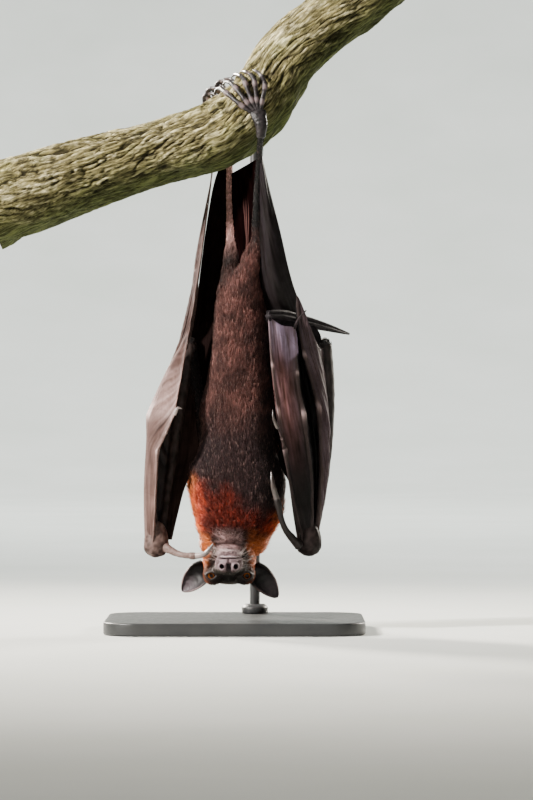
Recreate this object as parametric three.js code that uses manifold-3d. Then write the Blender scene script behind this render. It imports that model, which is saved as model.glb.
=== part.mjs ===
// A large flying fox (fruit bat) hanging by its feet from a cut length of branch: a life-size display model.
// Millimetres, +Z up. The origin is on the floor under the middle of the stand's base.
// The belly and face look along -Y.
import * as THREE from "three";
import Module from "manifold-3d";
import { mergeVertices } from "three/addons/utils/BufferGeometryUtils.js";

const wasm = await Module();
wasm.setup();

// ---------- driving dimensions ----------
const GAP = 0.3; // clearance between neighbouring nodes
const MEMBRANE = 0.8; // thickness of the wing skin
const EYE_RADIUS = 6.6;
const LID = 1.3; // how far the lids stand off the eyeball's socket
const EAR_HALF_WIDTH = 11;
const EAR_CUP = 8.5; // how deep an ear's cup is at its root
const EAR_CURL = 1.35; // how far its edges curl round, in radians
const BASE = { width: 250, depth: 216, height: 12, corner: 36, chamfer: 1.5 };
const ROD_RADIUS = 5;
const ROD_X = 19; // the rod stands behind the body, a little to its right
const ROD_Y = 82;
const ROD_FOOT = 4; // how high its foot sits in the base's socket
const ARM_HEIGHT = 494; // where the arm runs forward into the branch
const ARM_END_Y = 12; // how far into the branch it goes
const CLAMP = { radius: 9, height: 26 }; // the arm's block that sits over the rod's top
const COLLAR = { radius: 13, shoulder: 10, rim: 6, height: 9 };

const V = (x, y, z) => new THREE.Vector3(x, y, z);
const lerp = THREE.MathUtils.lerp;
const NECK_CUT = { point: V(-8, 0, 92), normal: V(0, -0.62, -0.78).normalize() };

// Radii along each limb, as [share of its length, radius, radius front to back].
const THIGH = [[0, 14, 13], [0.5, 10.5, 10], [0.85, 6.8, 6.4], [1, 4.6, 4.4]];
const SHIN = [[0, 4.8], [0.12, 5.2], [0.35, 4.2], [0.75, 3.3], [0.93, 3.6], [1, 3.4]];
const CALF_BOW = V(-1, 1.5, 0);
const INSTEP = [[0, 4, 4.4], [0.5, 3.8, 6], [1, 3.2, 8]];
const TOE = [[0, 2.3], [0.3, 2.2], [0.62, 2.6], [0.85, 2.2], [1, 2.3]];
const TOE_CLAW = [[0, 1.9, 1.5], [0.5, 1.5, 1.1], [1, 0.5, 0.45]];
const UPPER_ARM = [[0, 12, 11], [0.25, 10, 9.5], [0.6, 7.6, 7.4], [0.88, 7, 7], [1, 7.4, 7.2]];
const FOREARM = [[0, 7.2], [0.08, 7.4], [0.3, 6.8], [0.7, 5.4], [0.93, 5], [1, 5.6]];
const THUMB = [[0, 4.6], [0.3, 3.6], [0.7, 2.9], [0.92, 3.4], [1, 3]];
const THUMB_CLAW = [[0, 3, 2], [0.4, 2.5, 1.6], [0.8, 1.4, 0.9], [1, 0.4, 0.35]];
const INDEX_CLAW = [[0, 1.9, 1.4], [0.5, 1.5, 1], [1, 0.4, 0.35]];
const FURLED = [[0, 3.4, 5], [0.15, 4.2, 6.4], [0.5, 3.4, 5], [0.85, 1.9, 2.4], [1, 0.8, 0.9]];
const FINGER_END = [[0, 1.6], [1, 0.6]];
const FLUTES = 6; // folds round the furled fingertip
const FLUTE_DEPTH = 0.25; // as a part of its radius
// Fingers: a palm bone up to the knuckle, then the finger's own bones.
// Rows are [share, part of the finger's radius].
const KNUCKLE = 0.45;
const FINGER = [
  [0, 1.3],
  [0.12, 1],
  [0.38, 0.92],
  [0.45, 1.3],
  [0.52, 0.86],
  [0.66, 0.78],
  [0.72, 1],
  [0.8, 0.6],
  [1, 0.35],
];
const FINGER_RADIUS = { second: 2, third: 2.6, fourth: 2.3, fifth: 2.4 };
const FRONT_SKIN = [0.04, 0.68]; // the shares of the third finger that its skin to the second one takes up
const WRIST = V(12.5, 9.5, 11.5); // half sizes, the last one downward
const WRIST_RISE = 24; // how far it runs up into the palm bones
const RIDGE = 0.3; // how far a finger's ridge spreads, as a share of the way to the next fold
const SAG = 0.14; // how far the skin's free edge falls back between two fingertips

// ---------- solids from three.js geometry ----------
function solid(geometry) {
  const g = geometry.clone();
  for (const name of Object.keys(g.attributes)) if (name !== "position") g.deleteAttribute(name);
  const merged = mergeVertices(g, 1e-4);
  return new wasm.Manifold(
    new wasm.Mesh({
      numProp: 3,
      vertProperties: merged.attributes.position.array,
      triVerts: new Uint32Array(merged.index.array),
    }),
  );
}

const fuse = (...solids) => wasm.Manifold.union(solids.flat(2));

function cut(body, ...tools) {
  return tools.flat().reduce((left, tool) => left.subtract(tool), body);
}

// The largest closed surface of a solid, which drops scraps and fills sealed hollows.
function largest(body) {
  return body.decompose().reduce((a, b) => (b.volume() > a.volume() ? b : a));
}

// Moves every vertex of a closed geometry, and turns its faces round where that turned it inside out.
function shaped(geometry, place) {
  const g = geometry.clone();
  const p = g.attributes.position;
  for (let i = 0; i < p.count; i++) {
    const q = place(p.getX(i), p.getY(i), p.getZ(i));
    p.setXYZ(i, q.x, q.y, q.z);
  }
  const made = solid(g);
  if (made.volume() >= 0) return made;
  const index = g.index.array;
  for (let i = 0; i < index.length; i += 3) [index[i + 1], index[i + 2]] = [index[i + 2], index[i + 1]];
  return solid(g);
}

// Smooth values between rows of [position, value, value, ...].
function smooth(rows) {
  const width = rows[0].length - 1;
  const curve = new THREE.CubicInterpolant(
    rows.map((r) => r[0]),
    rows.flatMap((r) => r.slice(1)),
    width,
  );
  const first = rows[0][0];
  const last = rows[rows.length - 1][0];
  return (t) => Array.from(curve.evaluate(THREE.MathUtils.clamp(t, first, last)));
}

const evenly = (count) => Array.from({ length: count + 1 }, (_, i) => i / count);

// A closed body of rings. place(angle, t, rho) says where each vertex goes, with rho 0 at the caps' middles.
// steps is how many lengths there are, or a list of the rings' shares.
function loft(sides, steps, place) {
  const shares = Array.isArray(steps) ? steps : evenly(steps);
  const last = shares.length - 1;
  return shaped(new THREE.CylinderGeometry(1, 1, 1, sides, last), (x, y, z) => {
    const rho = Math.hypot(x, z);
    return place(Math.atan2(z, x), shares[Math.round((y + 0.5) * last)], rho > 0.5 ? 1 : 0);
  });
}

const line = (points) => new THREE.CatmullRomCurve3(points, false, "centripetal");

// A limb along a curve. Rows are [share of length, radius, radius across], and flat ends stay flat.
function limb(curve, rows, sides, steps, { grow = 0, round = 0.5, across = V(0, 1, 0) } = {}) {
  const radii = smooth(rows);
  return loft(sides, steps, (angle, t, rho) => {
    const centre = curve.getPointAt(t);
    const tangent = curve.getTangentAt(t);
    const side = across.clone().addScaledVector(tangent, -across.dot(tangent)).normalize();
    const up = tangent.clone().cross(side);
    const [r, wide = r] = radii(t);
    const end = rho === 0 ? (t > 0.5 ? 1 : -1) : 0;
    return centre
      .addScaledVector(up, (r + grow) * rho * Math.cos(angle))
      .addScaledVector(side, (wide + grow) * rho * Math.sin(angle))
      .addScaledVector(tangent, end * (r * round + grow));
  });
}

// A closed sheet of skin over surface(u, v), its two faces split into triangles alike.
// columns and rows are the shares u and v where it has vertices, and thickness(u, v) is its own there.
function sheet(columns, rows, surface, thickness, grow = 0) {
  const across = columns.length - 1;
  const down = rows.length - 1;
  const plane = new THREE.PlaneGeometry(1, 1, across, down);
  const uv = plane.attributes.uv;
  const count = uv.count;
  const step = 1e-3;
  const outward = (share) => (share === 0 ? -1 : share === 1 ? 1 : 0);
  const faces = [[], []];
  for (let i = 0; i < count; i++) {
    const u = columns[Math.round(uv.getX(i) * across)];
    const v = rows[Math.round(uv.getY(i) * down)];
    const du = surface(Math.min(u + step, 1), v).sub(surface(Math.max(u - step, 0), v));
    const dv = surface(u, Math.min(v + step, 1)).sub(surface(u, Math.max(v - step, 0)));
    const half = du.clone().cross(dv).normalize().multiplyScalar(thickness(u, v) / 2 + grow);
    const middle = surface(u, v)
      .addScaledVector(du.normalize(), grow * outward(u))
      .addScaledVector(dv.normalize(), grow * outward(v));
    faces[0].push(...middle.clone().add(half));
    faces[1].push(...middle.sub(half));
  }
  const front = Array.from(plane.index.array);
  const back = [];
  for (let i = 0; i < front.length; i += 3) {
    const [a, b, c] = front.slice(i, i + 3);
    back.push(a + count, c + count, b + count);
  }
  const ring = [];
  for (let i = 0; i < across; i++) ring.push(i);
  for (let j = 0; j < down; j++) ring.push(across + j * (across + 1));
  for (let i = across; i > 0; i--) ring.push(down * (across + 1) + i);
  for (let j = down; j > 0; j--) ring.push(j * (across + 1));
  const rim = ring.flatMap((a, k) => {
    const b = ring[(k + 1) % ring.length];
    return [a, b, b + count, a, b + count, a + count];
  });
  const g = new THREE.BufferGeometry();
  g.setAttribute("position", new THREE.Float32BufferAttribute(faces.flat(), 3));
  g.setIndex([...front, ...back, ...rim]);
  return shaped(g, (x, y, z) => V(x, y, z));
}

// Skin through places that run side by side, each a function of the share along it.
const through = (places) => (u, v) => line(places.map((place) => place(v))).getPoint(u);
const even = () => MEMBRANE;
const along = (points) => {
  const curve = line(points);
  return (t) => curve.getPointAt(t);
};

function ball(centre, rx, ry = rx, rz = rx, wide = 16, high = 10) {
  return shaped(new THREE.SphereGeometry(1, wide, high), (x, y, z) =>
    V(centre.x + rx * x, centre.y + ry * z, centre.z + rz * y),
  );
}

// Everything on the side of a plane that its normal points to.
function halfSpace(point, normal) {
  const size = 1200;
  const g = new THREE.BoxGeometry(size, size, size).translate(0, 0, size / 2);
  const turn = new THREE.Quaternion().setFromUnitVectors(V(0, 0, 1), normal.clone().normalize());
  return solid(g.applyQuaternion(turn).translate(point.x, point.y, point.z));
}

// ---------- perch ----------
const branchLine = line([
  V(-240, 0, 409),
  V(-199, 0, 424),
  V(-154, 0, 440),
  V(-109, 0, 453),
  V(-64, 0, 466),
  V(-34, 0, 474),
  V(-16, 0, 480),
  V(7, 0, 496),
  V(24, 0, 513),
  V(37, 0, 532),
  V(49, 0, 551),
  V(66, 0, 569),
  V(90, 0, 590),
  V(130, 0, 620),
  V(174, 0, 655),
]);
const branchRadius = smooth([
  [0, 41],
  [0.12, 38.5],
  [0.24, 34],
  [0.36, 32],
  [0.46, 34],
  [0.56, 32.5],
  [0.68, 31],
  [0.84, 30],
  [1, 29],
]);

// A direction round the branch: 0 faces the front (-Y) and a quarter turn is its upper side.
function branchDirection(t, angle) {
  const tangent = branchLine.getTangentAt(t);
  return V(-tangent.z * Math.sin(angle), -Math.cos(angle), tangent.x * Math.sin(angle));
}

function barkRelief(t, angle) {
  const twist = angle + 1.6 * Math.sin(5 * t) + 0.5 * Math.sin(17 * t);
  const rope = 1.1 * Math.sin(3 * twist + 9 * t) + 0.9 * Math.sin(7 * twist - 14 * t);
  return rope + 0.8 * Math.sin(31 * t + 2 * angle) * Math.cos(4 * angle + 12 * t);
}

function branchSolid(grow = 0) {
  return loft(20, 25, (angle, t, rho) => {
    const reach = (branchRadius(t)[0] + barkRelief(t, angle) + grow) * rho;
    const end = (t > 0.5 ? 1 : -1) * (t === 0 || t === 1 ? grow : 0);
    return branchLine
      .getPointAt(t)
      .addScaledVector(branchDirection(t, angle), reach)
      .addScaledVector(branchLine.getTangentAt(t), end);
  });
}

// A point on the branch at a height over its bark, from its place in the XZ plane.
// side is -1 in front and 1 behind.
function onBark(x, z, lift, side) {
  let best = 0;
  let nearest = Infinity;
  for (let i = 0; i <= 200; i++) {
    const d = branchLine.getPointAt(i / 200).distanceTo(V(x, 0, z));
    if (d < nearest) [nearest, best] = [d, i / 200];
  }
  const reach = branchRadius(best)[0] + lift;
  return V(x, side * Math.sqrt(Math.max(reach * reach - nearest * nearest, 0)), z);
}

// A point over the bark at a share of the branch's length, an angle round it and a height over it.
function overBark(t, angle, lift) {
  return branchLine.getPointAt(t).addScaledVector(branchDirection(t, angle), branchRadius(t)[0] + lift);
}

// ---------- body ----------
// Rows: height, middle x, middle y, half width, half depth.
const trunk = smooth([
  [68, -3, 9, 22, 15],
  [78, -2, 8, 31, 22],
  [90, 0, 6, 35, 28.5],
  [104, 2, 4, 40, 33.5],
  [114, 3.5, 3.5, 43.5, 36],
  [128, 3, 3, 46, 38.5],
  [142, 2, 3.5, 48, 40.5],
  [156, 1, 4, 46.5, 41],
  [170, 1.5, 5, 40.5, 39.5],
  [186, 2.5, 6, 37.3, 38],
  [212, 2.5, 7, 37.5, 37],
  [240, 4, 7, 33, 35],
  [265, 5, 7, 29.8, 32.5],
  [290, 5.5, 7, 28, 30.5],
  [315, 5.5, 7, 25.5, 27.5],
  [338, 5.5, 8, 19.5, 22.5],
  [352, 5, 9, 13, 15],
]);
const TRUNK_LOW = 68;
const TRUNK_HIGH = 352;
const TRUNK_DOME = 3; // how far its two ends bulge

function trunkSolid(grow = 0) {
  return loft(24, 18, (angle, t, rho) => {
    const z = lerp(TRUNK_LOW, TRUNK_HIGH, t);
    const [x, y, wide, deep] = trunk(z);
    const end = rho === 0 ? (t > 0.5 ? 1 : -1) * (TRUNK_DOME + grow) : 0;
    const back = Math.max(0, Math.sin(angle)); // a broad, slightly flattened back
    const squareness = 1 + 0.05 * Math.sin(2 * angle) ** 2 + 0.02 * back;
    return V(
      x + (wide + grow) * squareness * rho * Math.cos(angle),
      y + (deep + grow) * squareness * rho * Math.sin(angle),
      z + end,
    );
  });
}

// ---------- head, built upright with its nose along +Y and turned over by fromHead ----------
const HEAD = V(-5.5, -20, 65.5);
const fromHead = (x, y, z) => V(HEAD.x + x, HEAD.y - y, HEAD.z - z);

// Rows: distance forward, half width, top, underside.
const skull = smooth([
  [-42, 9, 14, -4],
  [-37, 18, 18.5, -12],
  [-26, 24, 21.5, -17],
  [-12, 25.5, 21, -18],
  [-2, 23.5, 18.8, -16],
  [6, 19.5, 15.5, -13],
  [14, 15, 12, -10],
  [24, 12, 9.8, -8],
  [34, 11, 8.4, -7.5],
  [40, 9.6, 7.2, -7],
  [43.5, 6.4, 5, -5.5],
]);
const jaw = smooth([
  [-24, 15, -4, -17],
  [-10, 18.5, -3, -18.5],
  [4, 16, -3, -17.5],
  [16, 12.4, -3, -15.8],
  [27, 10.4, -3, -14.2],
  [36, 9, -3, -12.8],
  [40.5, 5.6, -4, -10.8],
]);
const SKULL_BACK = -42;
const SKULL_FRONT = 43.5;
const SKULL_SQUARENESS = 2.15;
const JAW_BACK = -24;
const JAW_FRONT = 40.5;
const JAW_SQUARENESS = 2.2;
const CHEEK = { centre: V(8.2, 30, -1.5), size: V(4.6, 10, 6) }; // the lip's swelling behind each nostril
const BROW = { centre: V(13, -0.5, 15.5), size: V(7.2, 8, 4.4) };
const NOSTRIL = { radius: 1.9, rim: 3.2, rimReach: 43.6, reach: 45, rimDepth: 7, depth: 6 };
const NOSE_GROOVE = { width: 1.4, length: 5, height: 9, middle: 45.2 };

function headPart(rows, from, to, sides, steps, square, grow = 0) {
  return loft(sides, steps, (angle, t, rho) => {
    const y = lerp(from, to, t);
    const [wide, top, under] = rows(y);
    const c = Math.cos(angle);
    const s = Math.sin(angle);
    const box = 1 / (Math.abs(c) ** square + Math.abs(s) ** square) ** (1 / square);
    const middle = (top + under) / 2;
    const end = rho === 0 ? (t > 0.5 ? 1.6 : -1.6) : 0;
    return fromHead(
      (wide + grow) * box * rho * c,
      y + end,
      middle + ((top - under) / 2 + grow) * box * rho * s,
    );
  });
}

const MOUTH_HEIGHT = -6.8; // of the lips' line under the head's axis
const LIP_DEPTH = 2; // how far the mouth's line goes in
const EYE = V(16.4, 2.4, 11); // the right eye in the head's frame
const EYE_TURN = 0.3; // how far the gaze is turned outward, in radians
const LID_OPENING = { halfWidth: 4.6, halfHeight: 3, from: 2.2, to: 14 };

function eyeBall(side, radius, wide = 12, high = 9) {
  return ball(fromHead(side * EYE.x, EYE.y, EYE.z), radius, radius, radius, wide, high);
}

// The almond between the lids, as a bar along the gaze.
function lidOpening(side) {
  const gaze = V(side * Math.sin(EYE_TURN), Math.cos(EYE_TURN), 0.12).normalize();
  const across = V(gaze.y, -gaze.x, 0).normalize();
  const up = V(0, 0, 1).addScaledVector(gaze, -gaze.z).normalize();
  const { halfWidth, halfHeight, from, to } = LID_OPENING;
  return loft(12, 1, (angle, t, rho) => {
    const reach = lerp(from, to, t);
    const point = V(side * EYE.x, EYE.y, EYE.z)
      .addScaledVector(gaze, reach)
      .addScaledVector(across, halfWidth * rho * Math.cos(angle))
      .addScaledVector(up, halfHeight * rho * Math.sin(angle) * (1 - 0.25 * Math.cos(angle) ** 2));
    return fromHead(point.x, point.y, point.z);
  });
}

// The line of the mouth, cut a little way into the lips from its corners round the muzzle.
function lipGroove() {
  const plate = loft(16, 1, (angle, t, rho) => {
    const y = 17 + 27 * rho * Math.sin(angle);
    const rise = 2.4 * Math.max(0, (14 - y) / 24); // the corners of the mouth turn towards the eyes
    return fromHead(21 * rho * Math.cos(angle), y, MOUTH_HEIGHT + rise + lerp(-0.5, 0.5, t));
  });
  const lips = (y) => [skull(y)[0] - LIP_DEPTH, skull(y)[1], -20];
  return cut(plate, headPart(lips, SKULL_BACK, SKULL_FRONT - LIP_DEPTH, 16, 10, SKULL_SQUARENESS));
}

function nostril(side, radius, reach, depth) {
  const mouth = V(side * 6.2, reach, 1.4);
  const root = V(side * 4.6, reach - depth, 1.8);
  const path = new THREE.LineCurve3(fromHead(root.x, root.y, root.z), fromHead(mouth.x, mouth.y, mouth.z));
  return limb(path, [[0, radius * 0.75], [1, radius]], 9, 1, { round: 0, across: V(0, 0, 1) });
}

// A ball on each side of the head, at a centre given for the right side.
function pair({ centre, size }, grow) {
  return [-1, 1].map((side) =>
    ball(fromHead(side * centre.x, centre.y, centre.z), size.x + grow, size.y + grow, size.z + grow, 10, 7),
  );
}

function headSolid(grow = 0) {
  const sides = [-1, 1];
  const cranium = headPart(skull, SKULL_BACK, SKULL_FRONT, 20, 16, SKULL_SQUARENESS, grow);
  const lower = headPart(jaw, JAW_BACK, JAW_FRONT, 14, 8, JAW_SQUARENESS, grow);
  const { radius, rim, rimReach, reach, rimDepth, depth } = NOSTRIL;
  const noseRims = sides.map((s) => nostril(s, rim, rimReach, rimDepth));
  const lids = sides.map((s) => eyeBall(s, EYE_RADIUS + GAP + LID + grow, 10, 7));
  const whole = fuse(cranium, lower, pair(CHEEK, grow), pair(BROW, grow), noseRims, lids);
  const { width, length, height, middle } = NOSE_GROOVE;
  const groove = new THREE.BoxGeometry(width, length, height).translate(HEAD.x, HEAD.y - middle, HEAD.z + 1);
  return cut(
    whole,
    lipGroove(),
    solid(groove),
    sides.map((s) => nostril(s, radius, reach, depth)),
    sides.map((s) => eyeBall(s, EYE_RADIUS + GAP)),
    sides.map((s) => lidOpening(s)),
  );
}

// ---------- ears: cupped leaves ----------
const ears = {
  left: { root: V(-21.5, -8, 5), tip: V(-45.9, -16, 27.7) },
  right: { root: V(21.5, -8, 6), tip: V(47.2, -16, 33.5) },
};

const tailMembrane = {
  left: [V(-4.5, 34, 444), V(-3.5, 27, 405), V(-2, 21, 372), V(0, 12, 341)],
  right: [V(23, -28, 456), V(22, -18, 420), V(21, -8, 380), V(12, 0, 341)],
};

// root and tip are in the head's frame, for an ear on the side that side says.
function earSolid(side, root, tip) {
  const axis = tip.clone().sub(root);
  const length = axis.length();
  axis.normalize();
  const facing = V(side * 0.42, 1, -0.1); // the cup opens forward and outward
  const across = axis.clone().cross(facing).normalize();
  const back = across.clone().cross(axis).normalize();
  if (back.y > 0) back.negate();
  const halfWidth = smooth([
    [0, 0.8],
    [0.2, 1],
    [0.45, 0.98],
    [0.7, 0.72],
    [0.88, 0.4],
    [1, 0.1],
  ]);
  return sheet(
    evenly(6),
    evenly(9),
    (u, v) => {
      const s = 2 * u - 1;
      const w = EAR_HALF_WIDTH * halfWidth(v)[0];
      const cup = (EAR_CUP * (1 - v) ** 0.8 + 1) * (1 - s * s) - 2.5 * (1 - v);
      const lean = 3 * Math.sin(Math.PI * v);
      const p = root
        .clone()
        .addScaledVector(axis, length * v)
        .addScaledVector(across, (w * Math.sin(s * EAR_CURL)) / Math.sin(EAR_CURL))
        .addScaledVector(back, cup - lean);
      return fromHead(p.x, p.y, p.z);
    },
    (u, v) => lerp(1.9, 0.9, v),
  );
}

// ---------- legs ----------
// The left leg hangs from the back of the branch, the right leg from its front.
const legs = {
  left: {
    side: 1,
    hip: V(-1, 9, 326),
    knee: V(-2.5, 22, 372),
    ankle: V(-5.5, 35, 458),
    heel: V(-6, 42, 472),
  },
  right: {
    side: -1,
    hip: V(7.5, -6, 322),
    knee: V(21, -8, 376),
    ankle: V(24, -31, 462),
    heel: V(25, -39.5, 476),
  },
};

function legSolid({ hip, knee, ankle, heel }, grow = 0) {
  const underKnee = knee.clone().lerp(hip, -0.1);
  const thigh = limb(line([hip, hip.clone().lerp(knee, 0.6), underKnee]), THIGH, 10, 4, { grow });
  const calf = knee.clone().lerp(ankle, 0.5).add(CALF_BOW);
  const shin = limb(line([knee, calf, ankle, heel]), SHIN, 8, 8, { grow });
  return fuse(thigh, shin);
}

// ---------- feet ----------
// The right foot's toes, as [x, z, height over the bark], each with its claw's two further points.
const rightToes = [
  {
    toe: [[20, 497, 3.8], [3, 509, 3.8], [-8, 519, 4.4], [-14, 524.5, 4.6]],
    claw: [[-18.4, 524, 3.4], [-21, 519, 1]],
  },
  {
    toe: [[21, 499, 3.9], [8, 514, 4.2], [-0.5, 525.5, 5], [-5, 530, 5.2]],
    claw: [[-10, 531, 3.6], [-13.6, 527, 1]],
  },
  {
    toe: [[22, 500, 4], [14, 517, 4.5], [9, 531, 5.6], [5.4, 536, 5.6]],
    claw: [[0.4, 538, 4], [-4, 535.5, 1]],
  },
  {
    toe: [[23, 500, 4], [20.5, 517, 4.8], [18.5, 531, 6], [14.8, 536.8, 5.8]],
    claw: [[10.5, 539.5, 4.4], [5.8, 541, 1]],
  },
  {
    toe: [[24, 499, 3.8], [27, 514, 4.3], [29, 527, 5.2], [26, 534.5, 5.8]],
    claw: [[22, 538.6, 4.6], [17, 541.8, 1]],
  },
];
// The left foot's toes climb the back of the branch and hook over its top, fanning out along it.
const LEFT_FOOT_SHARE = 0.531; // where the toes hook over, as a share of the branch's length
const LEFT_INSTEP = { share: 0.545, angle: 2.75, lift: 4.4 };
// Each toe's shift along the branch and round it.
const LEFT_TOE_FAN = [[-0.03, 0.1], [-0.015, 0], [0, 0.1], [0.015, 0], [0.03, 0.1]];
// Points of each toe and claw: [part of the fan, shift along, angle round the branch, height over the bark].
const LEFT_TOE = [
  [0.2, 0.004, 2.85, 4.2],
  [0.7, -0.006, 2.5, 8],
  [1, -0.014, 2.22, 12],
  [1, -0.006, 2.05, 15],
  [1, 0.007, 1.98, 13.5],
];
const LEFT_CLAW = [[1, 0.017, 1.93, 8.5], [1, 0.021, 1.92, 1.6]];

function toeWithClaw(toePoints, clawPoints, grow) {
  const tip = toePoints[toePoints.length - 1];
  const toe = limb(line(toePoints), TOE, 6, 5, { grow });
  const claw = limb(line([tip, ...clawPoints]), TOE_CLAW, 5, 4, { grow, round: 0.2 });
  return [toe, claw];
}

function footSolid(name, grow = 0) {
  const { heel, side } = legs[name];
  if (name === "right") {
    const toes = rightToes.flatMap(({ toe, claw }) =>
      toeWithClaw(toe.map((p) => onBark(...p, side)), claw.map((p) => onBark(...p, side)), grow),
    );
    const instep = line([heel, V(25.5, -41, 487), V(22, -38.5, 500)]);
    return fuse(limb(instep, INSTEP, 8, 4, { grow, across: V(1, 0, 0) }), toes);
  }
  const toes = LEFT_TOE_FAN.flatMap(([fan, round]) => {
    const place = ([part, shift, angle, lift]) =>
      overBark(LEFT_FOOT_SHARE + fan * part + shift, angle + round * part, lift);
    return toeWithClaw(LEFT_TOE.map(place), LEFT_CLAW.map(place), grow);
  });
  const { share, angle, lift } = LEFT_INSTEP;
  const instep = line([heel, V(0, 43, 487), overBark(share, angle, lift)]);
  return fuse(limb(instep, INSTEP, 8, 4, { grow, across: V(1, 0, 0) }), toes);
}

// ---------- wings ----------
// The left wing hangs half open beside the body; the right one is folded across its flank.
// Digits run from the wrist, a list of points for each bone. Each list goes on from the last one's end.
const wings = {
  left: {
    upperArm: [V(-27, 12, 148), V(-35, 20, 212), V(-44, 26, 277)],
    forearm: [V(-44, 26, 277), V(-54, 22, 215), V(-63, 12, 150), V(-71, -5, 88)],
    wrist: V(-76, -10, 82),
    digits: {
      second: [
        [V(-78, -17, 86), V(-75.5, -26, 135), V(-73.5, -30, 174)],
        [V(-66, -32, 190), V(-58, -33, 209)],
      ],
      third: [
        [V(-84.5, -14, 86), V(-85.5, -22, 136), V(-82, -27, 208)],
        [V(-65, -20, 250), V(-45, -10, 291)],
        [V(-36.5, -3, 338), V(-29.5, 13, 390), V(-22.5, 31, 446)],
      ],
      fourth: [
        [V(-81, -9, 83), V(-84, -13, 140), V(-80, -13, 206)],
        [V(-65, -9, 247), V(-50, -4, 282)],
        [V(-43, 0, 312), V(-36, 5, 338)],
      ],
      fifth: [
        [V(-77, -5, 83), V(-78, -2, 140), V(-73, 2, 208)],
        [V(-65, 3, 236), V(-55, 4, 262)],
        [V(-47, 5, 284), V(-42, 6, 300)],
      ],
    },
    folds: { thirdFourth: V(-2, 0, 0), fourthFifth: V(6, 1, 0), fifthArm: V(-9, 3, 0) },
    indexClaw: [V(-58, -33, 209), V(-54.5, -33.6, 215.5), V(-50.6, -33, 214.5)],
    thumb: [V(-68, -13, 81), V(-54, -24, 74.5), V(-38, -35, 73)],
    thumbClaw: [V(-38, -35, 73), V(-28, -41, 75.5), V(-20.4, -44, 85.4)],
    front: [
      V(-41, 23, 262), V(-38, 10, 205), V(-35, -2, 168), V(-48, -9, 140), V(-56, -12, 110), V(-61, -12, 88),
    ],
    trailing: [
      V(-7, 39, 470), V(-19.5, 30, 439), V(-28, 20, 392), V(-34, 11, 345), V(-39, 13, 306),
      V(-45, 25, 283), V(-37, 20, 212), V(-33, 15, 165),
    ],
    fold: [
      V(-8, 39, 462), V(-14, 34, 420), V(-19, 29, 380), V(-24, 27, 340), V(-29, 28, 300),
      V(-36, 30, 262), V(-35, 24, 212), V(-33, 17, 166),
    ],
    root: [
      V(-6, 37, 455), V(-4, 28, 410), V(-2.5, 22, 372), V(-7, 16, 335), V(-17, 16, 300),
      V(-23, 16, 255), V(-30, 16, 212), V(-31, 15, 167),
    ],
  },
  right: {
    upperArm: [V(31, 12, 148), V(60, 14, 212), V(87, 15, 276)],
    forearm: [V(87, 15, 276), V(90, 12, 223), V(88, 8, 170), V(80, 1, 112), V(74, -3, 88)],
    wrist: V(71.5, -7, 83),
    digits: {
      second: [
        [V(62, -13, 86), V(54, -27, 140), V(48.5, -34, 175)],
        [V(45, -36, 186), V(41.5, -38, 196)],
      ],
      third: [
        [V(65, -11, 84), V(51, -27, 150), V(40, -35, 213)],
        [V(35, -35, 260), V(32, -31, 304)],
      ],
      fourth: [
        [V(74, -8, 84), V(73, -18, 150), V(66, -23, 209)],
        [V(60, -21, 243), V(57, -17, 293)],
      ],
      fifth: [
        [V(78, -5.5, 85), V(83.5, -7, 150), V(81.5, -8, 217)],
        [V(73, -9, 247), V(66, -9, 273)],
        [V(62, -9.5, 300), V(60, -10, 324)],
      ],
    },
    folds: { thirdFourth: V(0, -3, 0), fourthFifth: V(0, 10, 0), fifthArm: V(7, -3, 0) },
    furledEnd: [V(32, -31, 304), V(46, -14, 303), V(64, 6, 300), V(90, 29, 294), V(112, 50, 288)],
    fourthEnd: [V(57, -17, 292), V(62, -15, 302), V(69, -13, 310)],
    indexClaw: [V(41.5, -38, 196), V(37.5, -39.5, 205), V(36.5, -38, 214)],
    thumb: [V(62, -15, 82), V(48, -24, 100), V(40.5, -29, 127)],
    thumbClaw: [V(40.5, -29, 127), V(37, -31.5, 140), V(35, -28.5, 155)],
    front: [
      V(82, 13, 262), V(58, 6, 205), V(42, -3, 168), V(54, -6, 140), V(63, -9, 112), V(68, -9, 92),
    ],
    trailing: [
      V(26, -28, 458), V(35, -27, 420), V(44, -23, 385), V(52, -15, 350), V(59, -4, 327),
      V(70, 12, 304), V(84, 16, 283), V(60, 14, 212), V(42, 12, 165),
    ],
    fold: [
      V(25.5, -31, 452), V(31, -31, 414), V(34, -28, 376), V(38, -22, 338), V(44, -8, 312),
      V(51, 8, 290), V(52, 16, 262), V(48, 17, 212), V(40, 14, 166),
    ],
    root: [
      V(24, -28, 450), V(22, -14, 410), V(21, -7, 372), V(20, 4, 335), V(26, 10, 305),
      V(30, 12, 280), V(33, 13, 255), V(35, 14, 212), V(34, 14, 167),
    ],
  },
};

// A finger as a function of its share: its palm bone fills the shares up to the knuckle.
function finger([palm, ...rest]) {
  const first = line(palm);
  const others = line([palm[palm.length - 1], ...rest.flat()]);
  return (t) => {
    if (t < KNUCKLE) return first.getPointAt(t / KNUCKLE);
    return others.getPointAt((t - KNUCKLE) / (1 - KNUCKLE));
  };
}

// A fold half way between two others, pushed aside and ending short of them.
function foldBetween(a, b, push) {
  const strength = smooth([[0, 0.2], [0.25, 0.8], [0.5, 1], [1, 0.9]]);
  return (t) => {
    const share = t * (1 - SAG * t);
    return a(share).lerp(b(share), 0.5).addScaledVector(push, strength(t)[0]);
  };
}

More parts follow.
